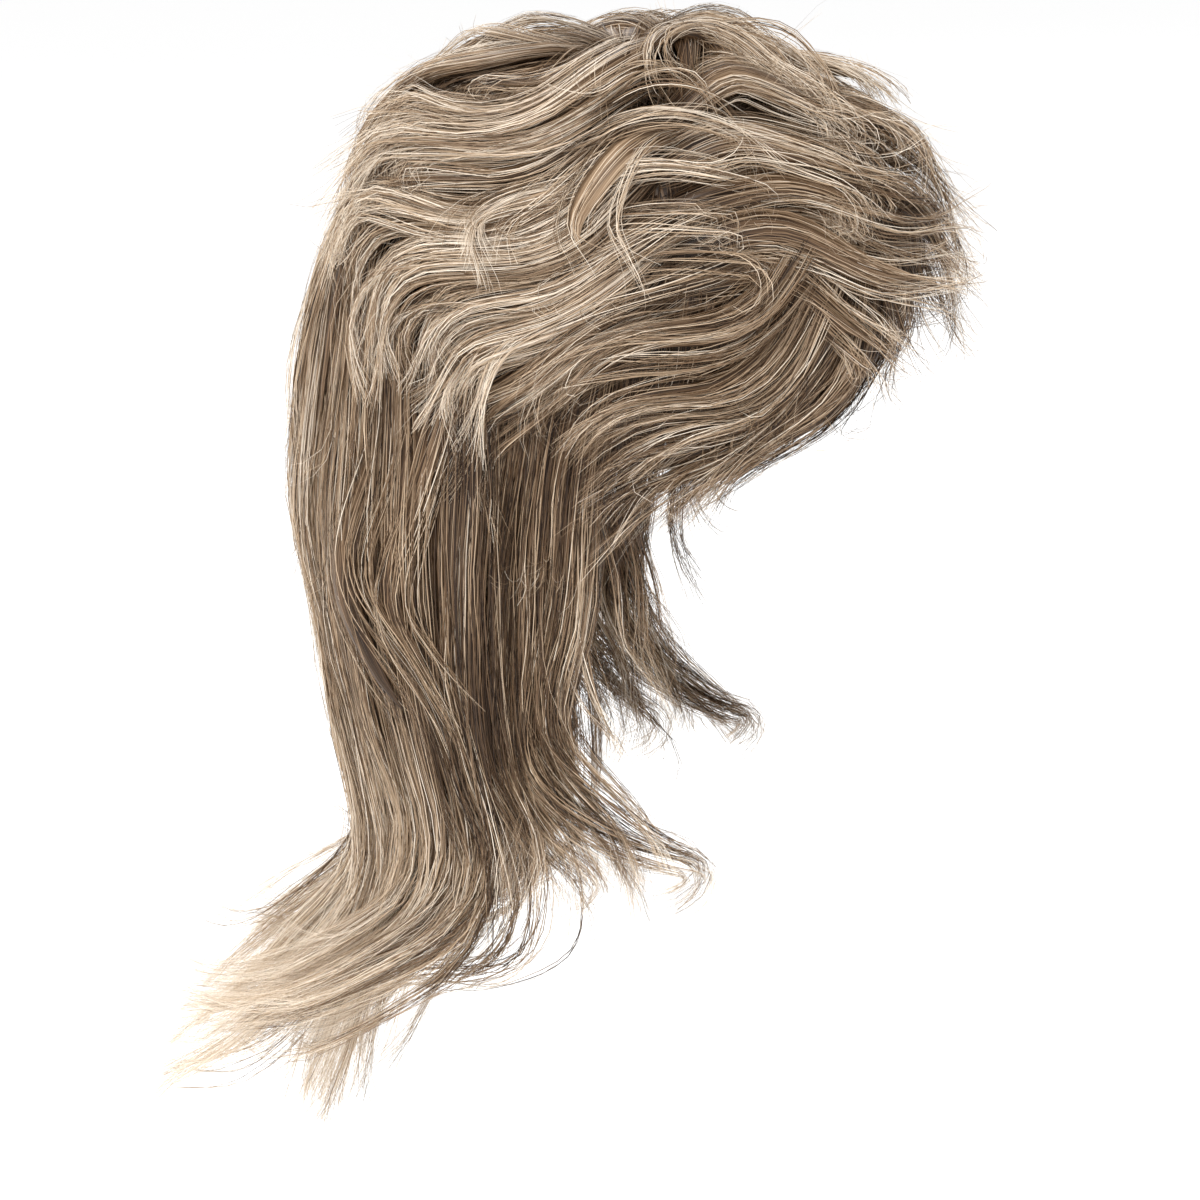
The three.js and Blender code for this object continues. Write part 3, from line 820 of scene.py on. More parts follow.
def outer_face(shape):
    """Points spread over the outer face of a lock."""
    at = np.linspace(0, len(shape["path"][0]) - 1, FACE_STEPS)
    spine, across, face = (along_path(values, at) for values in shape["path"])
    columns = np.linspace(-FACE_SHARE, FACE_SHARE, FACE_COLUMNS)
    beside = across[:, None] * columns[:, None] * shape["width"]
    return (spine + face * shape["depth"] * FACE_SHARE)[:, None] + beside


outermost = np.zeros((180 // PATCH + 1) * PATCHES_ROUND)
for each in tiers:
    for shape in each["shapes"]:
        patch, distance = patch_of(outer_face(shape))
        np.maximum.at(outermost, patch.ravel(), distance.ravel())
reach = outermost[outermost > 0]
print("reach from the middle of the head, mm:", reach.min().round(), "to", reach.max().round())

# %% [markdown]
# A point is given painted shade, darker by its depth below that outermost hair. We read the depth
# twice, at the point and a little higher up, because hair that hangs over the point takes the light
# of the lamps from it. What is far above, as a tail that flicks out, throws no shade.

# %% How deep a point lies
# painted shade: how much darker a point gets under other hair, and under hair that hangs over it
PAINTED_DEPTH_SHADE = 0.25
DEPTH_RANGE = (3, 17)  # depths in mm over which the shade grows
DEPTH_FAR = (26, 42)  # and over which it fades again
OVERHANG_MM = 24  # how much higher up the second depth is read
PAINTED_OVERHANG_SHADE = 0.18


def painted_depth_shade(points, beside=0):
    """How much painted shade points get from the hair above, read a little beside them to soften the
    patches.
    """
    distance = np.linalg.norm(points - HEAD_MIDDLE, axis=-1)
    shade = 0
    for raised, strength in ((0, PAINTED_DEPTH_SHADE), (OVERHANG_MM, PAINTED_OVERHANG_SHADE)):
        seen, seen_distance = patch_of(points + beside + np.array([0, 0, raised]))
        depth = outermost[seen] - np.where(raised, seen_distance, distance)
        shade = shade + strength * smooth(*DEPTH_RANGE, depth) * (1 - smooth(*DEPTH_FAR, depth))
    return shade


print("shade close to the head, over the ear:", painted_depth_shade(place(90, 120, 4)).round(2))

# %% [markdown]
# ## Lock bodies
#
# Real hair is so dense that you can't see through it. Fibres alone could do that, but would take many
# times the triangles. A slim body inside each wide lock does the same work for a few hundred faces.
# Its darker tone is painted shade: it is darker than most fibres, so that the gaps between them read
# as depth. It ends before the lock does, so that the tip is loose fibres alone.

# %% The body of a lock
BODY_TAPER = np.array([(0, 0.03), (0.1, 0.5), (0.3, 1), (0.7, 0.82), (0.9, 0.4), (1, 0.03)])
BODY_SHARE = 0.66  # of the lock's width and depth
# darker than the fibres: painted shade in the gaps between them
BODY_SHADOW_TONE = 0.22
BODY_FACE_MM = 2.6
BODY_SIDES = (5, 11)
BODY_STREAKS = 0.4  # mm of streaks for each radian round a body, as a share of the lock's width
CURL_REACH = 30  # mm of a lock's end that curl
# lighter tips are partly painted light, which thin ends let through
LIGHT_TIP = (0.6, 1)  # share of the length over which a tip gets lighter
TONE_LIMITS = (0.08, 0.98)


def lock_body(shape):
    rows = len(shape["path"][0])
    sides = int(np.clip(shape["width"] / BODY_FACE_MM, *BODY_SIDES))
    u = np.linspace(0, 1, rows)
    t = u * (1 - max(shape["airy"], CURL_REACH / shape["length"]))
    spine, across, face = (along_path(values, t * (rows - 1)) for values in shape["path"])
    share = BODY_SHARE / 2 * np.interp(u, *BODY_TAPER.T)[:, None, None]
    angle = np.linspace(-np.pi / 2, 1.5 * np.pi, sides, endpoint=False)
    wide = np.cos(angle)[None, :, None] * across[:, None] * shape["width"]
    deep = np.sin(angle)[None, :, None] * face[:, None] * shape["depth"]
    points = spine[:, None] + share * (wide + deep)
    here = np.arange(rows - 1)[:, None] * sides + np.arange(sides)
    beside = np.arange(rows - 1)[:, None] * sides + (np.arange(sides) + 1) % sides
    # the body's darker tone and the shade of the hair above are painted shade; the lighter tip is partly
    # painted light
    tone = BODY_SHADOW_TONE + shape["tone"] + np.interp(angle, shape["band_angle"], shape["band_tone"])
    tone = tone + shape["tip_tone"] * smooth(*LIGHT_TIP, t)[:, None] - painted_depth_shade(points)
    streak = shape["streak"] + (angle - angle[0]) * shape["width"] * BODY_STREAKS
    return {
        "points": points.reshape(-1, 3),
        "quads": np.stack([here, beside, beside + sides, here + sides], axis=-1).reshape(-1, 4),
        "tone": tone.clip(*TONE_LIMITS).ravel(),
        "along": np.repeat(t, sides),
        "streak": np.tile(streak, rows),
    }


print("faces of the first body:", len(lock_body(tiers[0]["shapes"][0])["quads"]))

# %% [markdown]
# ## Fibres
#
# On a real wig every fibre runs from the weft to its cut tip. Ours are fewer, so each sits on the outer
# face of its lock, where it is seen, and starts and stops a little by chance. Neighbours belong to one
# wisp, and end near the end of that wisp, so a lock ends in several points. A few fibres fly away by
# themselves.

# %% Where fibres start and stop
SEAT_SPREAD = 0.04  # how far from its own wisp a fibre may sit, as a share of the way round the lock
SEAT_DRIFT = 0.25  # how far it drifts round the lock on its way, in radians
LATE_START = 0.25  # half of the fibres start late, within this share of the length
TIP_SPREAD = 16  # wisps stop within this many mm of the lock's end
LONGEST_TIP = 0.14  # and within this share of the length
FIBRE_SPREAD = 0.6  # how far before its wisp a fibre stops, as a share of that way
FLYAWAY_SHARE = 0.12


def seated(shape, rng, count):
    """For each fibre its wisp, its angle round the lock, and its way along the lock, from 0 to 1."""
    rows = len(shape["path"][0])
    seat = rng.uniform(0, 1, (count, 1))
    wisps = max(2, int(shape["width"] / shape["wisp"]))
    wisp = ((seat[:, 0] + rng.normal(0, SEAT_SPREAD, count)) * wisps).astype(int) % wisps
    start = rng.uniform(0, LATE_START, (count, 1)) * rng.integers(0, 2, (count, 1))
    short = min(LONGEST_TIP, TIP_SPREAD / shape["length"])
    wisp_stop = rng.uniform(1 - short, 1, wisps)[wisp, None]
    stop = wisp_stop * rng.uniform(1 - FIBRE_SPREAD * short, 1, (count, 1))
    way = start + (stop - start) * np.linspace(0, 1, rows)
    arc = np.pi + 2 * shape["overhang"]
    angle = seat * arc - shape["overhang"] + rng.normal(0, SEAT_DRIFT, (count, 1)) * way
    wisp_angle = (np.arange(wisps) + 0.5) / wisps * arc - shape["overhang"]
    fly = rng.uniform(size=count) < FLYAWAY_SHARE
    return {"way": way, "stop": stop, "angle": angle, "wisp": wisp, "wisp_angle": wisp_angle, "fly": fly}


trial = seated(tiers[0]["shapes"][0], np.random.default_rng(0), 100)
print("of a hundred fibres of the first lock,", trial["fly"].sum(), "fly away")

# %% [markdown]
# Seen from its end, a lock is an ellipse. A fibre leaves its seat on the ellipse for its place in the
# wisp, and waves more and more on the way. Wisps fan out towards the tip. Blender's clump and frizz
# settings do much the same for particle hair. Done in numpy, all fibres of a lock move at once.

# %% How fibres lie in the lock
LOCK_TAPER = np.array([(0, 0.2), (0.15, 0.7), (0.3, 1), (0.7, 0.86), (0.9, 0.5), (1, 0.25)])
SWELL = (0.8, 1.12)  # how far out fibres sit, where 1 is on the ellipse
GATHERED = 0.92  # how closely fibres keep to their wisps at the tip, where 1 is wholly
GATHER_SPAN = (0.3, 1.0)  # share of the length over which they gather
WISP_PLACE = (0.35, 0.9)  # how far out wisps end, where 1 is on the ellipse
WISP_SPREAD = 0.12  # how far fibres lie from the middle of their wisp, as a share of its width
WISP_FAN = 2.0  # how far wisps fan out at the tip, in mm
WISP_WAVE = 1.0  # size of their waves in mm
WISP_WAVE_MM = (60, 120)  # and length of their waves
FIBRE_FAN = 0.6
FIBRE_WAVE = 0.7
FIBRE_WAVE_MM = (40, 90)
FLYAWAY_WAVE = 1.4
FLYAWAY_FAN = 7
WAVE_POWER = 0.8  # waves grow as this power of the way along
FAN_POWER = 2.5  # and the fan as this one


def waves(rng, count, way, length, shortest, longest):
    """Smooth waves for each wisp or fibre, across and away, of a random wavelength in millimetres."""
    turns = length / rng.uniform(shortest, longest, (count, 1, 2))
    phase = rng.uniform(0, 2 * np.pi, (count, 1, 2))
    return np.sin(2 * np.pi * way[..., None] * turns + phase) - np.sin(phase)


def on_section(angle, half):
    return np.stack([np.cos(angle), np.sin(angle)], axis=-1) * half


def lie(shape, rng, fibre):
    """How far fibres lie from the middle of their lock, across it and away from the head."""
    way, wisp, fly = fibre["way"], fibre["wisp"], fibre["fly"]
    count, wisps = len(way), len(fibre["wisp_angle"])
    half = np.array([shape["width"], shape["depth"]]) / 2
    swell = rng.uniform(*SWELL, (count, 1)) * np.interp(way, *LOCK_TAPER.T)
    wisp_place = on_section(fibre["wisp_angle"], half) * rng.uniform(*WISP_PLACE, (wisps, 1))
    in_wisp = wisp_place[wisp, None] + rng.normal(0, WISP_SPREAD * shape["wisp"], (count, 1, 2))
    gather = GATHERED * smooth(*GATHER_SPAN, way)[..., None]
    offset = on_section(fibre["angle"], half) * swell[..., None] * (1 - gather) + in_wisp * gather
    grow = way[..., None] ** WAVE_POWER
    whole = np.linspace(0, 1, way.shape[1])[None]
    offset += grow * WISP_WAVE * waves(rng, wisps, whole, shape["length"], *WISP_WAVE_MM)[wisp]
    sway = np.where(fly, FLYAWAY_WAVE, FIBRE_WAVE)[:, None, None]
    offset += grow * sway * waves(rng, count, way, shape["length"], *FIBRE_WAVE_MM)
    spread = shape["fan"] * rng.normal(0, WISP_FAN, (wisps, 1, 2))[wisp]
    spread += rng.normal(0, FIBRE_FAN, (count, 1, 2))
    spread[fly] += rng.normal(0, FLYAWAY_FAN, (fly.sum(), 1, 2))
    return offset + spread * way[..., None] ** FAN_POWER


trial_offset = lie(tiers[0]["shapes"][0], np.random.default_rng(1), trial)
print("their tips lie off the middle by, mm:", np.abs(trial_offset[:, -1]).mean(axis=0).round(1))

# %% [markdown]
# Feathered ends are curled round a hot iron, so the end of a lock turns on a circle, mostly downwards,
# and its wisps and fibres follow more or less. Bending each path step by step would do it. A formula
# is quicker: on a circle, the way aside grows as one minus a cosine and the way forward as a sine, so
# a tight curl also ends further back.

# %% How ends curl
def curl(shape, rng, fibre):
    """How far the curl takes fibres across the lock, away from the head and along the lock."""
    _, across, face = shape["path"]
    wisps, count = len(fibre["wisp_angle"]), len(fibre["way"])
    bend = shape["turned"] - np.array([across[-1, 2], face[-1, 2]])
    bend = bend + rng.normal(0, CURL_SPREAD["wisp"], (wisps, 1, 2))[fibre["wisp"]]
    bend = (bend + rng.normal(0, CURL_SPREAD["fibre"], (count, 1, 2))) * shape["curl"]
    curvature = np.linalg.norm(bend, axis=-1, keepdims=True)
    curled = np.maximum((fibre["way"] - fibre["stop"]) * shape["length"] + CURL_REACH, 0)[..., None]
    aside = bend / curvature**2 * (1 - np.cos(curvature * curled))
    forward = np.sin(curvature * curled) / curvature - curled
    return np.concatenate([aside, forward], axis=-1)


trial_curl = curl(tiers[0]["shapes"][0], np.random.default_rng(2), trial)
print("their curl takes the tips, mm:", trial_curl[:, -1].mean(axis=0).round(1))

# %% [markdown]
# Wig hair is mixed from lowlights, a middle shade and highlights. Each shade could be a material, but
# one number for each point is lighter to carry: `tone` says how light a fibre is, from dark ash brown
# at 0 to pale blond at 1. The lock's bands and its lighter tip are added to it, and the painted shade
# of the hair above is taken off. The lighter tip is partly painted light that thin ends let through.

# %% How light fibres are
SHADE_MIX = {"tone": (0.34, 0.54, 0.78), "share": (0.3, 0.43, 0.27)}
FIBRE_CONTRAST = 0.06
WISP_CONTRAST = 0.11
FLYAWAY_TONE = 0.15
PATCH_BLUR = 4  # mm beside its own place that a fibre reads its shade, so that no patch shows


def fibre_tone(shape, rng, fibre, points):
    count, wisps = len(fibre["way"]), len(fibre["wisp_angle"])
    tone = rng.choice(SHADE_MIX["tone"], count, p=SHADE_MIX["share"]) + rng.normal(0, FIBRE_CONTRAST, count)
    tone += rng.normal(0, WISP_CONTRAST, wisps)[fibre["wisp"]] + FLYAWAY_TONE * fibre["fly"]
    tone += shape["tone"] + np.interp(fibre["angle"][:, 0], shape["band_angle"], shape["band_tone"])
    # the lighter tip is partly painted light, and the shade taken off is painted shade
    tip = shape["tip_tone"] * smooth(*LIGHT_TIP, fibre["way"])
    tone = tone[:, None] + tip - painted_depth_shade(points, rng.normal(0, PATCH_BLUR, (count, 1, 3)))
    return tone.clip(*TONE_LIMITS)


print("shares of lowlights, middle shade and highlights:", SHADE_MIX["share"])

# %% [markdown]
# ## Ribbons
#
# Each fibre becomes a flat ribbon whose normals lean out at both edges, so that it is lit like a
# round fibre. A tube would take four times the faces and look the same at this size. The few fibres
# that would stand too far out of the box of the CAD model are drawn in.

# %% From fibres to ribbons
MM = 0.001
PROUD = 7.5  # how far hair may stand out of the CAD box, in mm
EDGE_LEAN = 0.8  # how far a ribbon's normals lean out, as a share of their length
RIBBON_TAPER = np.array([(0, 0.5), (0.15, 1), (0.7, 0.9), (1, 0.3)])
lowest, highest = (np.array(corner) / MM for corner in cad_box)


def held_in(points):
    """Draws in what stands out past the CAD box, the further out the more."""
    over = np.maximum(points - highest, 0)
    under = np.maximum(lowest - points, 0)
    return points - over + PROUD * np.tanh(over / PROUD) + under - PROUD * np.tanh(under / PROUD)


def ribbons(points, side, width, tone, way, rng):
    count, rows, _ = points.shape
    points = held_in(points)
    tangent = unit(np.gradient(points, axis=1))
    side = unit(side - tangent * (side * tangent).sum(-1, keepdims=True))
    narrow = np.interp(np.linspace(0, 1, rows), *RIBBON_TAPER.T)
    reach = side * (width[:, None] * narrow)[..., None] / 2
    first = (np.arange(count)[:, None] * rows + np.arange(rows - 1)) * 2
    up = np.cross(tangent, side)
    return {
        "points": np.stack([points - reach, points + reach], axis=2).reshape(-1, 3),
        "quads": np.stack([first, first + 2, first + 3, first + 1], axis=-1).reshape(-1, 4),
        "tone": np.repeat(tone.ravel(), 2),
        "along": np.repeat(way.ravel(), 2),
        "streak": np.repeat(rng.uniform(0, STREAK_RANGE, count), rows * 2),
        "normals": unit(np.stack([up - EDGE_LEAN * side, up + EDGE_LEAN * side], axis=2)).reshape(-1, 3),
    }


print("hair may stand proud of the CAD box by up to", PROUD, "mm")

# %% [markdown]
# One function now puts the steps together for all fibres of a lock. A real fibre is under 0.1 mm thick.
# Ours are drawn about 0.3 mm wide, coarser than they are, so that they show in the picture and fewer
# of them cover the wig.

# %% All fibres of a lock
FIBRE_WIDTH = 0.34
WIDTH_SPREAD = (0.75, 1.15)
FLYAWAY_WIDTH = 0.5  # share of the width that a flyaway fibre has
LEAN_SPREAD = 0.7  # how far chance tips a ribbon on its lock, in radians


def fibres(shape, rng, count):
    fibre = seated(shape, rng, count)
    offset = lie(shape, rng, fibre)
    curled = curl(shape, rng, fibre)
    offset += curled[..., :2]
    at = fibre["way"] * (len(shape["path"][0]) - 1)
    spine, across, face = (along_path(values, at) for values in shape["path"])
    points = spine + across * offset[..., :1] + face * offset[..., 1:]
    points += np.cross(across, face) * curled[..., 2:]
    tone = fibre_tone(shape, rng, fibre, points)
    width = FIBRE_WIDTH * rng.uniform(*WIDTH_SPREAD, count) * np.where(fibre["fly"], FLYAWAY_WIDTH, 1)
    lean = (fibre["angle"] + rng.uniform(-LEAN_SPREAD, LEAN_SPREAD, (count, 1)))[..., None]
    side = across * np.sin(lean) - face * np.cos(lean)
    return ribbons(points, side, width, tone, fibre["way"], rng)


trial_ribbons = fibres(tiers[0]["shapes"][0], np.random.default_rng(3), 100)
print("faces of a hundred fibres:", len(trial_ribbons["quads"]))

# %% [markdown]
# ## One mesh for each tier
#
# A tier's bodies and ribbons are joined into one mesh. Adding its faces one by one would be slow, so
# the mesh is filled from arrays in one go. Three values ride on its points for the material to read:
# `tone`, `along`, which runs from root to tip, and `streak`, which tells fibres apart. A UV map that
# holds tone and along lets an exported model keep the colours on a small image.

# %% Arrays to a mesh
MAP_WIDTH = 0.006  # width of a ribbon on the UV map
MAP_LIMITS = (0.002, 0.998)
HAIR_VALUES = ("tone", "along", "streak")


def mesh_object(name, chunks, keys):
    start = np.cumsum([0] + [len(chunk["points"]) for chunk in chunks])
    points = np.concatenate([chunk["points"] for chunk in chunks]) * MM
    quads = np.concatenate([chunk["quads"] + first for chunk, first in zip(chunks, start)])
    mesh = bpy.data.meshes.new(name)
    mesh.vertices.add(len(points))
    mesh.vertices.foreach_set("co", points.astype(np.float32).ravel())
    mesh.loops.add(quads.size)
    mesh.loops.foreach_set("vertex_index", quads.astype(np.int32).ravel())
    mesh.polygons.add(len(quads))
    mesh.polygons.foreach_set("loop_start", np.arange(0, quads.size, 4, dtype=np.int32))
    mesh.polygons.foreach_set("use_smooth", np.ones(len(quads), bool))
    mesh.update(calc_edges=True)
    values = {}
    for key in keys:
        values[key] = np.concatenate([chunk[key] for chunk in chunks]).astype(np.float32)
        mesh.attributes.new(key, "FLOAT", "POINT").data.foreach_set("value", values[key])
    if "tone" in keys:
        corner = quads.ravel()
        across_map = values["tone"][corner] + MAP_WIDTH * (corner % 2 - 0.5)
        bake_map = np.stack([across_map, values["along"][corner]], axis=-1).clip(*MAP_LIMITS)
        mesh.uv_layers.new(name="OFBake").uv.foreach_set("vector", bake_map.astype(np.float32).ravel())
    normals = np.zeros(points.size, np.float32)
    mesh.vertices.foreach_get("normal", normals)
    normals = normals.reshape(-1, 3)
    for chunk, first in zip(chunks, start):
        if "normals" in chunk:
            normals[first : first + len(chunk["points"])] = chunk["normals"]
    mesh.normals_split_custom_set_from_vertices(normals.tolist())
    piece = bpy.data.objects.new(name, mesh)
    bpy.context.collection.objects.link(piece)
    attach(piece, "root")
    return piece


print("values on the points of the hair:", ", ".join(HAIR_VALUES))

# %% [markdown]
# ## Materials
#
# A material could be put together by hand in the shader editor. Written as code it can be read and run
# again, and three small functions keep it short: one turns a hex colour to linear, one makes a
# material, and one adds a node with its settings and links.

# %% Helpers for materials
def linear(hexcode):
    """An sRGB hex colour as the linear values that Blender works with."""
    srgb = np.array([int(hexcode[i : i + 2], 16) for i in (1, 3, 5)]) / 255
    value = np.where(srgb <= 0.04045, srgb / 12.92, ((srgb + 0.055) / 1.055) ** 2.4)
    return (*value.tolist(), 1.0)


def new_material(name):
    material = bpy.data.materials.new(name)
    material.use_nodes = True
    tree = material.node_tree
    return material, tree, tree.nodes["Principled BSDF"]


def add(tree, kind, links=None, values=None, stops=None, **settings):
    """Adds a node with its settings, feeds its inputs, and fills a colour ramp from stops."""
    node = tree.nodes.new(kind)
    for key, value in settings.items():
        setattr(node, key, value)
    for key, output in (links or {}).items():
        tree.links.new(output, node.inputs[key])
    for key, value in (values or {}).items():
        node.inputs[key].default_value = value
    for k, (position, colour) in enumerate(stops or []):
        if k >= len(node.color_ramp.elements):
            node.color_ramp.elements.new(1.0)
        node.color_ramp.elements[k].position = position
        node.color_ramp.elements[k].color = linear(colour)
    return node


print("middle grey, linear:", round(linear("#808080")[0], 3))

# %% [markdown]
# Wig hair is a heat-resistant plastic fibre, drawn out fine and dyed, with a soft shine. Fibres of
# several shades are mixed before they are sewn in. Blender has a hair shader, but it is made for hair
# curves and doesn't export. So the plain shader takes its colour from a ramp over `tone`, with finer
# streaks inside a wisp, and darker at the roots, where fibres lie in each other's shade. A streak is
# drawn about 1 mm wide, as wide as a dozen real fibres, with finer ones in it, because a single fibre
# is too fine to show.

# %% Synthetic hair fibre
STREAK_MM = 1.0
STREAK_CONTRAST = 0.9
STREAK_CHANGES = 2.0  # how often a streak changes from root to tip
STREAK_NOISE = {"Scale": 1.0, "Detail": 3.0}
STREAK_RELIEF = {"Strength": 0.5, "Distance": 0.4 * MM}
# Drawn plastic: satin rather than glossy, and less bright at an edge than one smooth surface is.
HAIR_SURFACE = {"Roughness": 0.4, "IOR": 1.5, "Specular IOR Level": 0.3}
HAIR_SHADES = [(0, "#2c1c0f"), (0.3, "#6b523a"), (0.55, "#a1886d"), (0.78, "#ceb79c"), (1, "#f3e6d4")]
ROOT_SHADES = [(0, "#7d7066"), (0.35, "#e6e3e0"), (1, "#ffffff")]

hair, tree, shader = new_material("synthetic_hair_fibre")
tone, along, streak = (
    add(tree, "ShaderNodeAttribute", attribute_name=name).outputs["Fac"] for name in HAIR_VALUES
)
beside = add(tree, "ShaderNodeMath", {0: streak}, {1: STREAK_MM}, operation="DIVIDE").outputs[0]
down = add(tree, "ShaderNodeMath", {0: along}, {1: STREAK_CHANGES}, operation="MULTIPLY").outputs[0]
spot = add(tree, "ShaderNodeCombineXYZ", {0: beside, 1: down}).outputs[0]
grain = add(tree, "ShaderNodeTexNoise", {"Vector": spot}, STREAK_NOISE).outputs["Fac"]
swing = add(tree, "ShaderNodeMapRange", {0: grain}, {3: -STREAK_CONTRAST, 4: STREAK_CONTRAST}).outputs[0]
mixed = add(tree, "ShaderNodeMath", {0: tone, 1: swing}, operation="ADD", use_clamp=True).outputs[0]
shade = add(tree, "ShaderNodeValToRGB", {0: mixed}, stops=HAIR_SHADES).outputs[0]
root = add(tree, "ShaderNodeValToRGB", {0: along}, stops=ROOT_SHADES).outputs[0]
multiply = {"data_type": "RGBA", "blend_type": "MULTIPLY"}
dyed = add(tree, "ShaderNodeMix", {6: shade, 7: root}, {0: 1.0}, **multiply).outputs[2]
relief = add(tree, "ShaderNodeBump", {"Height": grain}, STREAK_RELIEF).outputs[0]
tree.links.new(dyed, shader.inputs["Base Color"])
tree.links.new(relief, shader.inputs["Normal"])
for socket, value in HAIR_SURFACE.items():
    shader.inputs[socket].default_value = value
print("hair material nodes:", len(tree.nodes))

# %% [markdown]
# ## Combing the tiers
#
# Now each tier becomes a mesh. A fixed count of fibres for each lock would leave wide locks bare and
# thin ones crowded. So the bodies come first, and the fibres share the triangles that the tier has
# left, by the size of their lock.

# %% Make the hair
total = 0
for each in tiers:
    shapes, rng = each["shapes"], each["rng"]
    chunks = [lock_body(shape) for shape in shapes if shape["body"]]
    for chunk in chunks:
        chunk["points"] = held_in(chunk["points"])
    body_faces = sum(len(chunk["quads"]) for chunk in chunks)
    weight = np.array([shape["weight"] for shape in shapes])
    counts = ((each["budget"] / 2 - body_faces) / each["steps"] * weight / weight.sum()).astype(int)
    chunks += [fibres(shape, rng, count) for shape, count in zip(shapes, counts)]
    piece = mesh_object(each["name"], chunks, HAIR_VALUES)
    piece.data.materials.append(hair)
    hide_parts(each["node"])
    triangles = 2 * len(piece.data.polygons)
    total += triangles
    print(f"{each['name']}: {counts.sum()} fibres, {triangles} triangles")
print("triangles of hair in all:", total)

# %% [markdown]
# ## The cap
#
# The cap is a thin knitted net that stretches over the head, and the rows of hair are sewn to it.
# It shows only through the open front, where you look into the wig. A sheet with a Solidify
# modifier would do, but we know both of its faces, so we draw a fine grid for the outside and one
# for the inside and join them at the edge.

# %% The form of the cap
CAP_WALL = 1.5
CAP_EDGE = np.array(
    [(0, 92), (35, 100), (58, 112), (70, 132), (82, 164), (97, 146), (122, 178), (150, 200), (180, 206)]
)
CAP_COLUMNS = 96
CAP_ROWS = 36
CAP_FIRST_ROW = 0.004  # just off the top, as a share of the way to the edge


def cap_mesh():
    turn = np.linspace(-180, 180, CAP_COLUMNS + 1)
    edge = np.interp(np.abs(turn), *CAP_EDGE.T)
    drop = np.linspace(CAP_FIRST_ROW, 1, CAP_ROWS + 1)[:, None] * edge
    turns = np.broadcast_to(turn, drop.shape)
    outside = place(turns, drop, np.full(drop.shape, CAP_WALL))
    inside = place(turns, drop, np.zeros(drop.shape))
    points = np.concatenate([outside, inside[::-1]])
    rows = len(points)
    here = np.arange(rows - 1)[:, None] * len(turn) + np.arange(CAP_COLUMNS)
    below = here + len(turn)
    quads = np.stack([here, below, below + 1, here + 1], axis=-1)
    round_mm = np.radians(turns) * HEAD_LENGTH / 2
    return {
        "points": points.reshape(-1, 3),
        "quads": quads.reshape(-1, 4),
        "round": np.concatenate([round_mm, round_mm[::-1]]).ravel(),
        "down": np.concatenate([drop, drop[::-1]]).ravel(),
    }


cap = mesh_object("cap_net", [cap_mesh()], ("round", "down"))
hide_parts("wig_cap")
print("cap triangles:", 2 * len(cap.data.polygons))

# %% [markdown]
# Stretch net is knitted from a soft matte yarn in small diamonds. Modelling the yarn would take more
# faces than the hair, so the pattern is two crossing waves in the material. Real diamonds are about
# 1 mm across; these are drawn 2.4 mm wide so that they show.

# %% Stretch knit net
NET_MM = 2.4
NET_SHADES = [(0, "#6e5642"), (1, "#b6977a")]  # the holes and the yarn
NET_RELIEF = {"Strength": 0.5, "Distance": 0.5 * MM}
NET_ROUGHNESS = 0.85
YARN_EDGE = {1: -0.2, 2: 0.9}  # heights of the waves where a hole ends and where the yarn is full

net, tree, shader = new_material("stretch_knit_net")
round_mm, down_mm = (
    add(tree, "ShaderNodeAttribute", attribute_name=name).outputs["Fac"] for name in ("round", "down")
)
per_mm = 2 * np.pi / NET_MM
strands = []
for operation in ("ADD", "SUBTRACT"):
    slant = add(tree, "ShaderNodeMath", {0: round_mm, 1: down_mm}, operation=operation).outputs[0]
    phase = add(tree, "ShaderNodeMath", {0: slant}, {1: per_mm}, operation="MULTIPLY").outputs[0]
    strands.append(add(tree, "ShaderNodeMath", {0: phase}, operation="COSINE").outputs[0])
yarn = add(tree, "ShaderNodeMath", dict(enumerate(strands)), operation="MAXIMUM").outputs[0]
knit = add(tree, "ShaderNodeMapRange", {0: yarn}, YARN_EDGE).outputs[0]
colour = add(tree, "ShaderNodeValToRGB", {0: knit}, stops=NET_SHADES).outputs[0]
relief = add(tree, "ShaderNodeBump", {"Height": knit}, NET_RELIEF).outputs[0]
tree.links.new(colour, shader.inputs["Base Color"])
tree.links.new(relief, shader.inputs["Normal"])
shader.inputs["Roughness"].default_value = NET_ROUGHNESS
cap.data.materials.append(net)
print("net material nodes:", len(tree.nodes))

# %% [markdown]
# ## Floor and camera
#
# A pale paper floor fills the picture. A backdrop with a bend would do the same, but a plane that is
# far larger than the picture needs no modelling. It glows a little, as paper does under strong studio
# lamps, so that it stays white to the edge.

# %% Floor
FLOOR_HEIGHT = -0.44
FLOOR_SIZE = 60
FLOOR_GLOW = 0.32
FLOOR_ROUGHNESS = 0.9
bpy.ops.mesh.primitive_plane_add(size=FLOOR_SIZE, location=(0, 0, FLOOR_HEIGHT))
floor = bpy.context.object
floor.name = "floor"
paper, tree, shader = new_material("studio_paper")
shader.inputs["Base Color"].default_value = linear("#f4f4f4")
shader.inputs["Emission Color"].default_value = linear("#ffffff")
shader.inputs["Emission Strength"].default_value = FLOOR_GLOW
shader.inputs["Roughness"].default_value = FLOOR_ROUGHNESS
floor.data.materials.append(paper)
print("floor at", FLOOR_HEIGHT, "m")

# %% [markdown]
# The camera looks at the wearer's right, from a little in front and a little above. A short lens close
# by would stretch the near locks, so it stands far off with a long lens. The lens follows from the
# width of the picture at the wig.


# %% Camera
def aim(thing, target):
    direction = np.array(target) - np.array(thing.location)
    thing.rotation_euler = (
        np.arctan2(np.hypot(direction[0], direction[1]), -direction[2]),
        0,
        np.arctan2(direction[1], direction[0]) - np.pi / 2,
    )


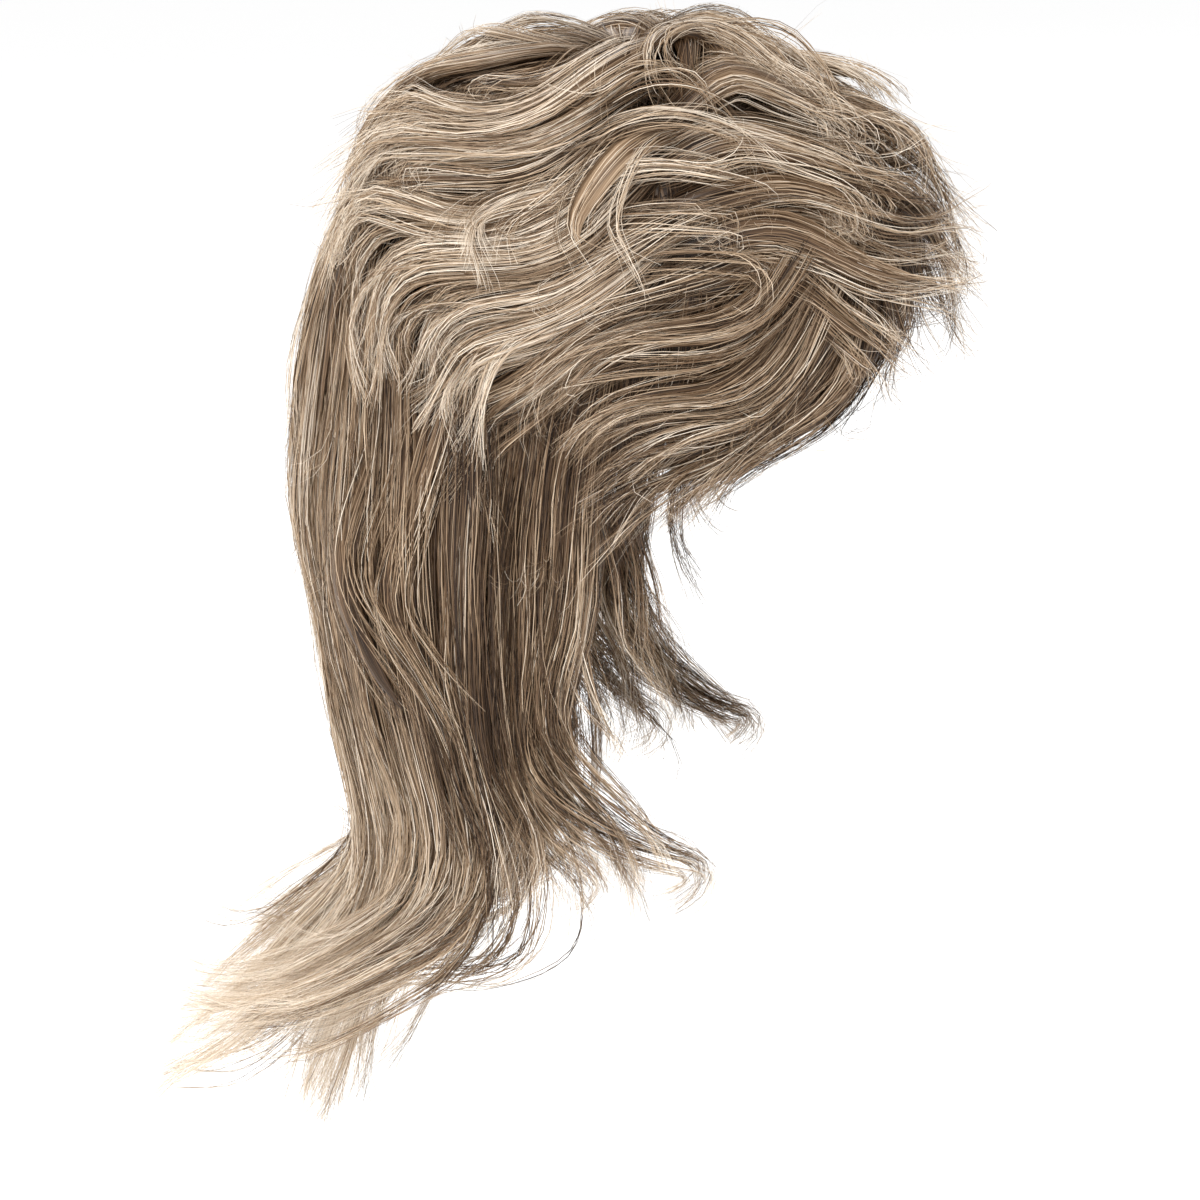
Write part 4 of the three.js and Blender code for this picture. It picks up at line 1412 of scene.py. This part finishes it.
CAMERA_AZIMUTH = np.radians(-80)
CAMERA_ELEVATION = np.radians(12)
CAMERA_DISTANCE = 4.0
CAMERA_FURTHEST = 100
PICTURE_WIDTH = 0.45
PICTURE_MIDDLE = (-0.0105, -0.1935)  # to the right of the top of the head and up from it, in metres
SENSOR = 36

right = np.array([np.cos(CAMERA_AZIMUTH), np.sin(CAMERA_AZIMUTH), 0])
away = np.array([-np.sin(CAMERA_AZIMUTH), np.cos(CAMERA_AZIMUTH), 0])
look = away * np.cos(CAMERA_ELEVATION) - np.array([0, 0, np.sin(CAMERA_ELEVATION)])
upward = away * np.sin(CAMERA_ELEVATION) + np.array([0, 0, np.cos(CAMERA_ELEVATION)])
target = right * PICTURE_MIDDLE[0] + upward * PICTURE_MIDDLE[1]

camera = bpy.data.objects.new("camera", bpy.data.cameras.new("camera"))
bpy.context.collection.objects.link(camera)
camera.location = target - look * CAMERA_DISTANCE
aim(camera, target)
camera.data.sensor_width = SENSOR
camera.data.lens = SENSOR * CAMERA_DISTANCE / PICTURE_WIDTH
camera.data.clip_end = CAMERA_FURTHEST
bpy.context.scene.camera = camera
print("camera at", np.round(camera.location, 2), "with a lens of", camera.data.lens, "mm")

# %% [markdown]
# ## Light
#
# Hair needs light from one main side, so that locks shade each other. A picture of a studio could
# light it from all round, but lamps are easier to place. A large soft one stands above the camera on
# its left, a weak one fills from the right, and a weak one behind lights the loose fibres at the edge.

# %% Lamps and surroundings
SKY_STRENGTH = 0.65
LAMPS = [
    # name, place as (right, towards the camera, up) in metres, size in metres, power in watts
    ("key", (-0.8, 1.7, 1.7), 1.4, 68),
    ("fill", (1.6, 1.8, 0.4), 1.8, 8),
    ("rim", (-0.6, -1.6, 1.2), 1.2, 14),
]
for name, (to_right, to_camera, up), size, power in LAMPS:
    data = bpy.data.lights.new(name, "AREA")
    data.size = size
    data.energy = power
    lamp = bpy.data.objects.new(name, data)
    bpy.context.collection.objects.link(lamp)
    lamp.location = target + right * to_right - away * to_camera + np.array([0, 0, up])
    aim(lamp, target)

world = bpy.data.worlds.new("studio")
bpy.context.scene.world = world
world.use_nodes = True
world.node_tree.nodes["Background"].inputs["Color"].default_value = linear("#ffffff")
world.node_tree.nodes["Background"].inputs["Strength"].default_value = SKY_STRENGTH
bpy.context.scene.view_settings.view_transform = "Standard"
print("lamps:", ", ".join(name for name, *_ in LAMPS))
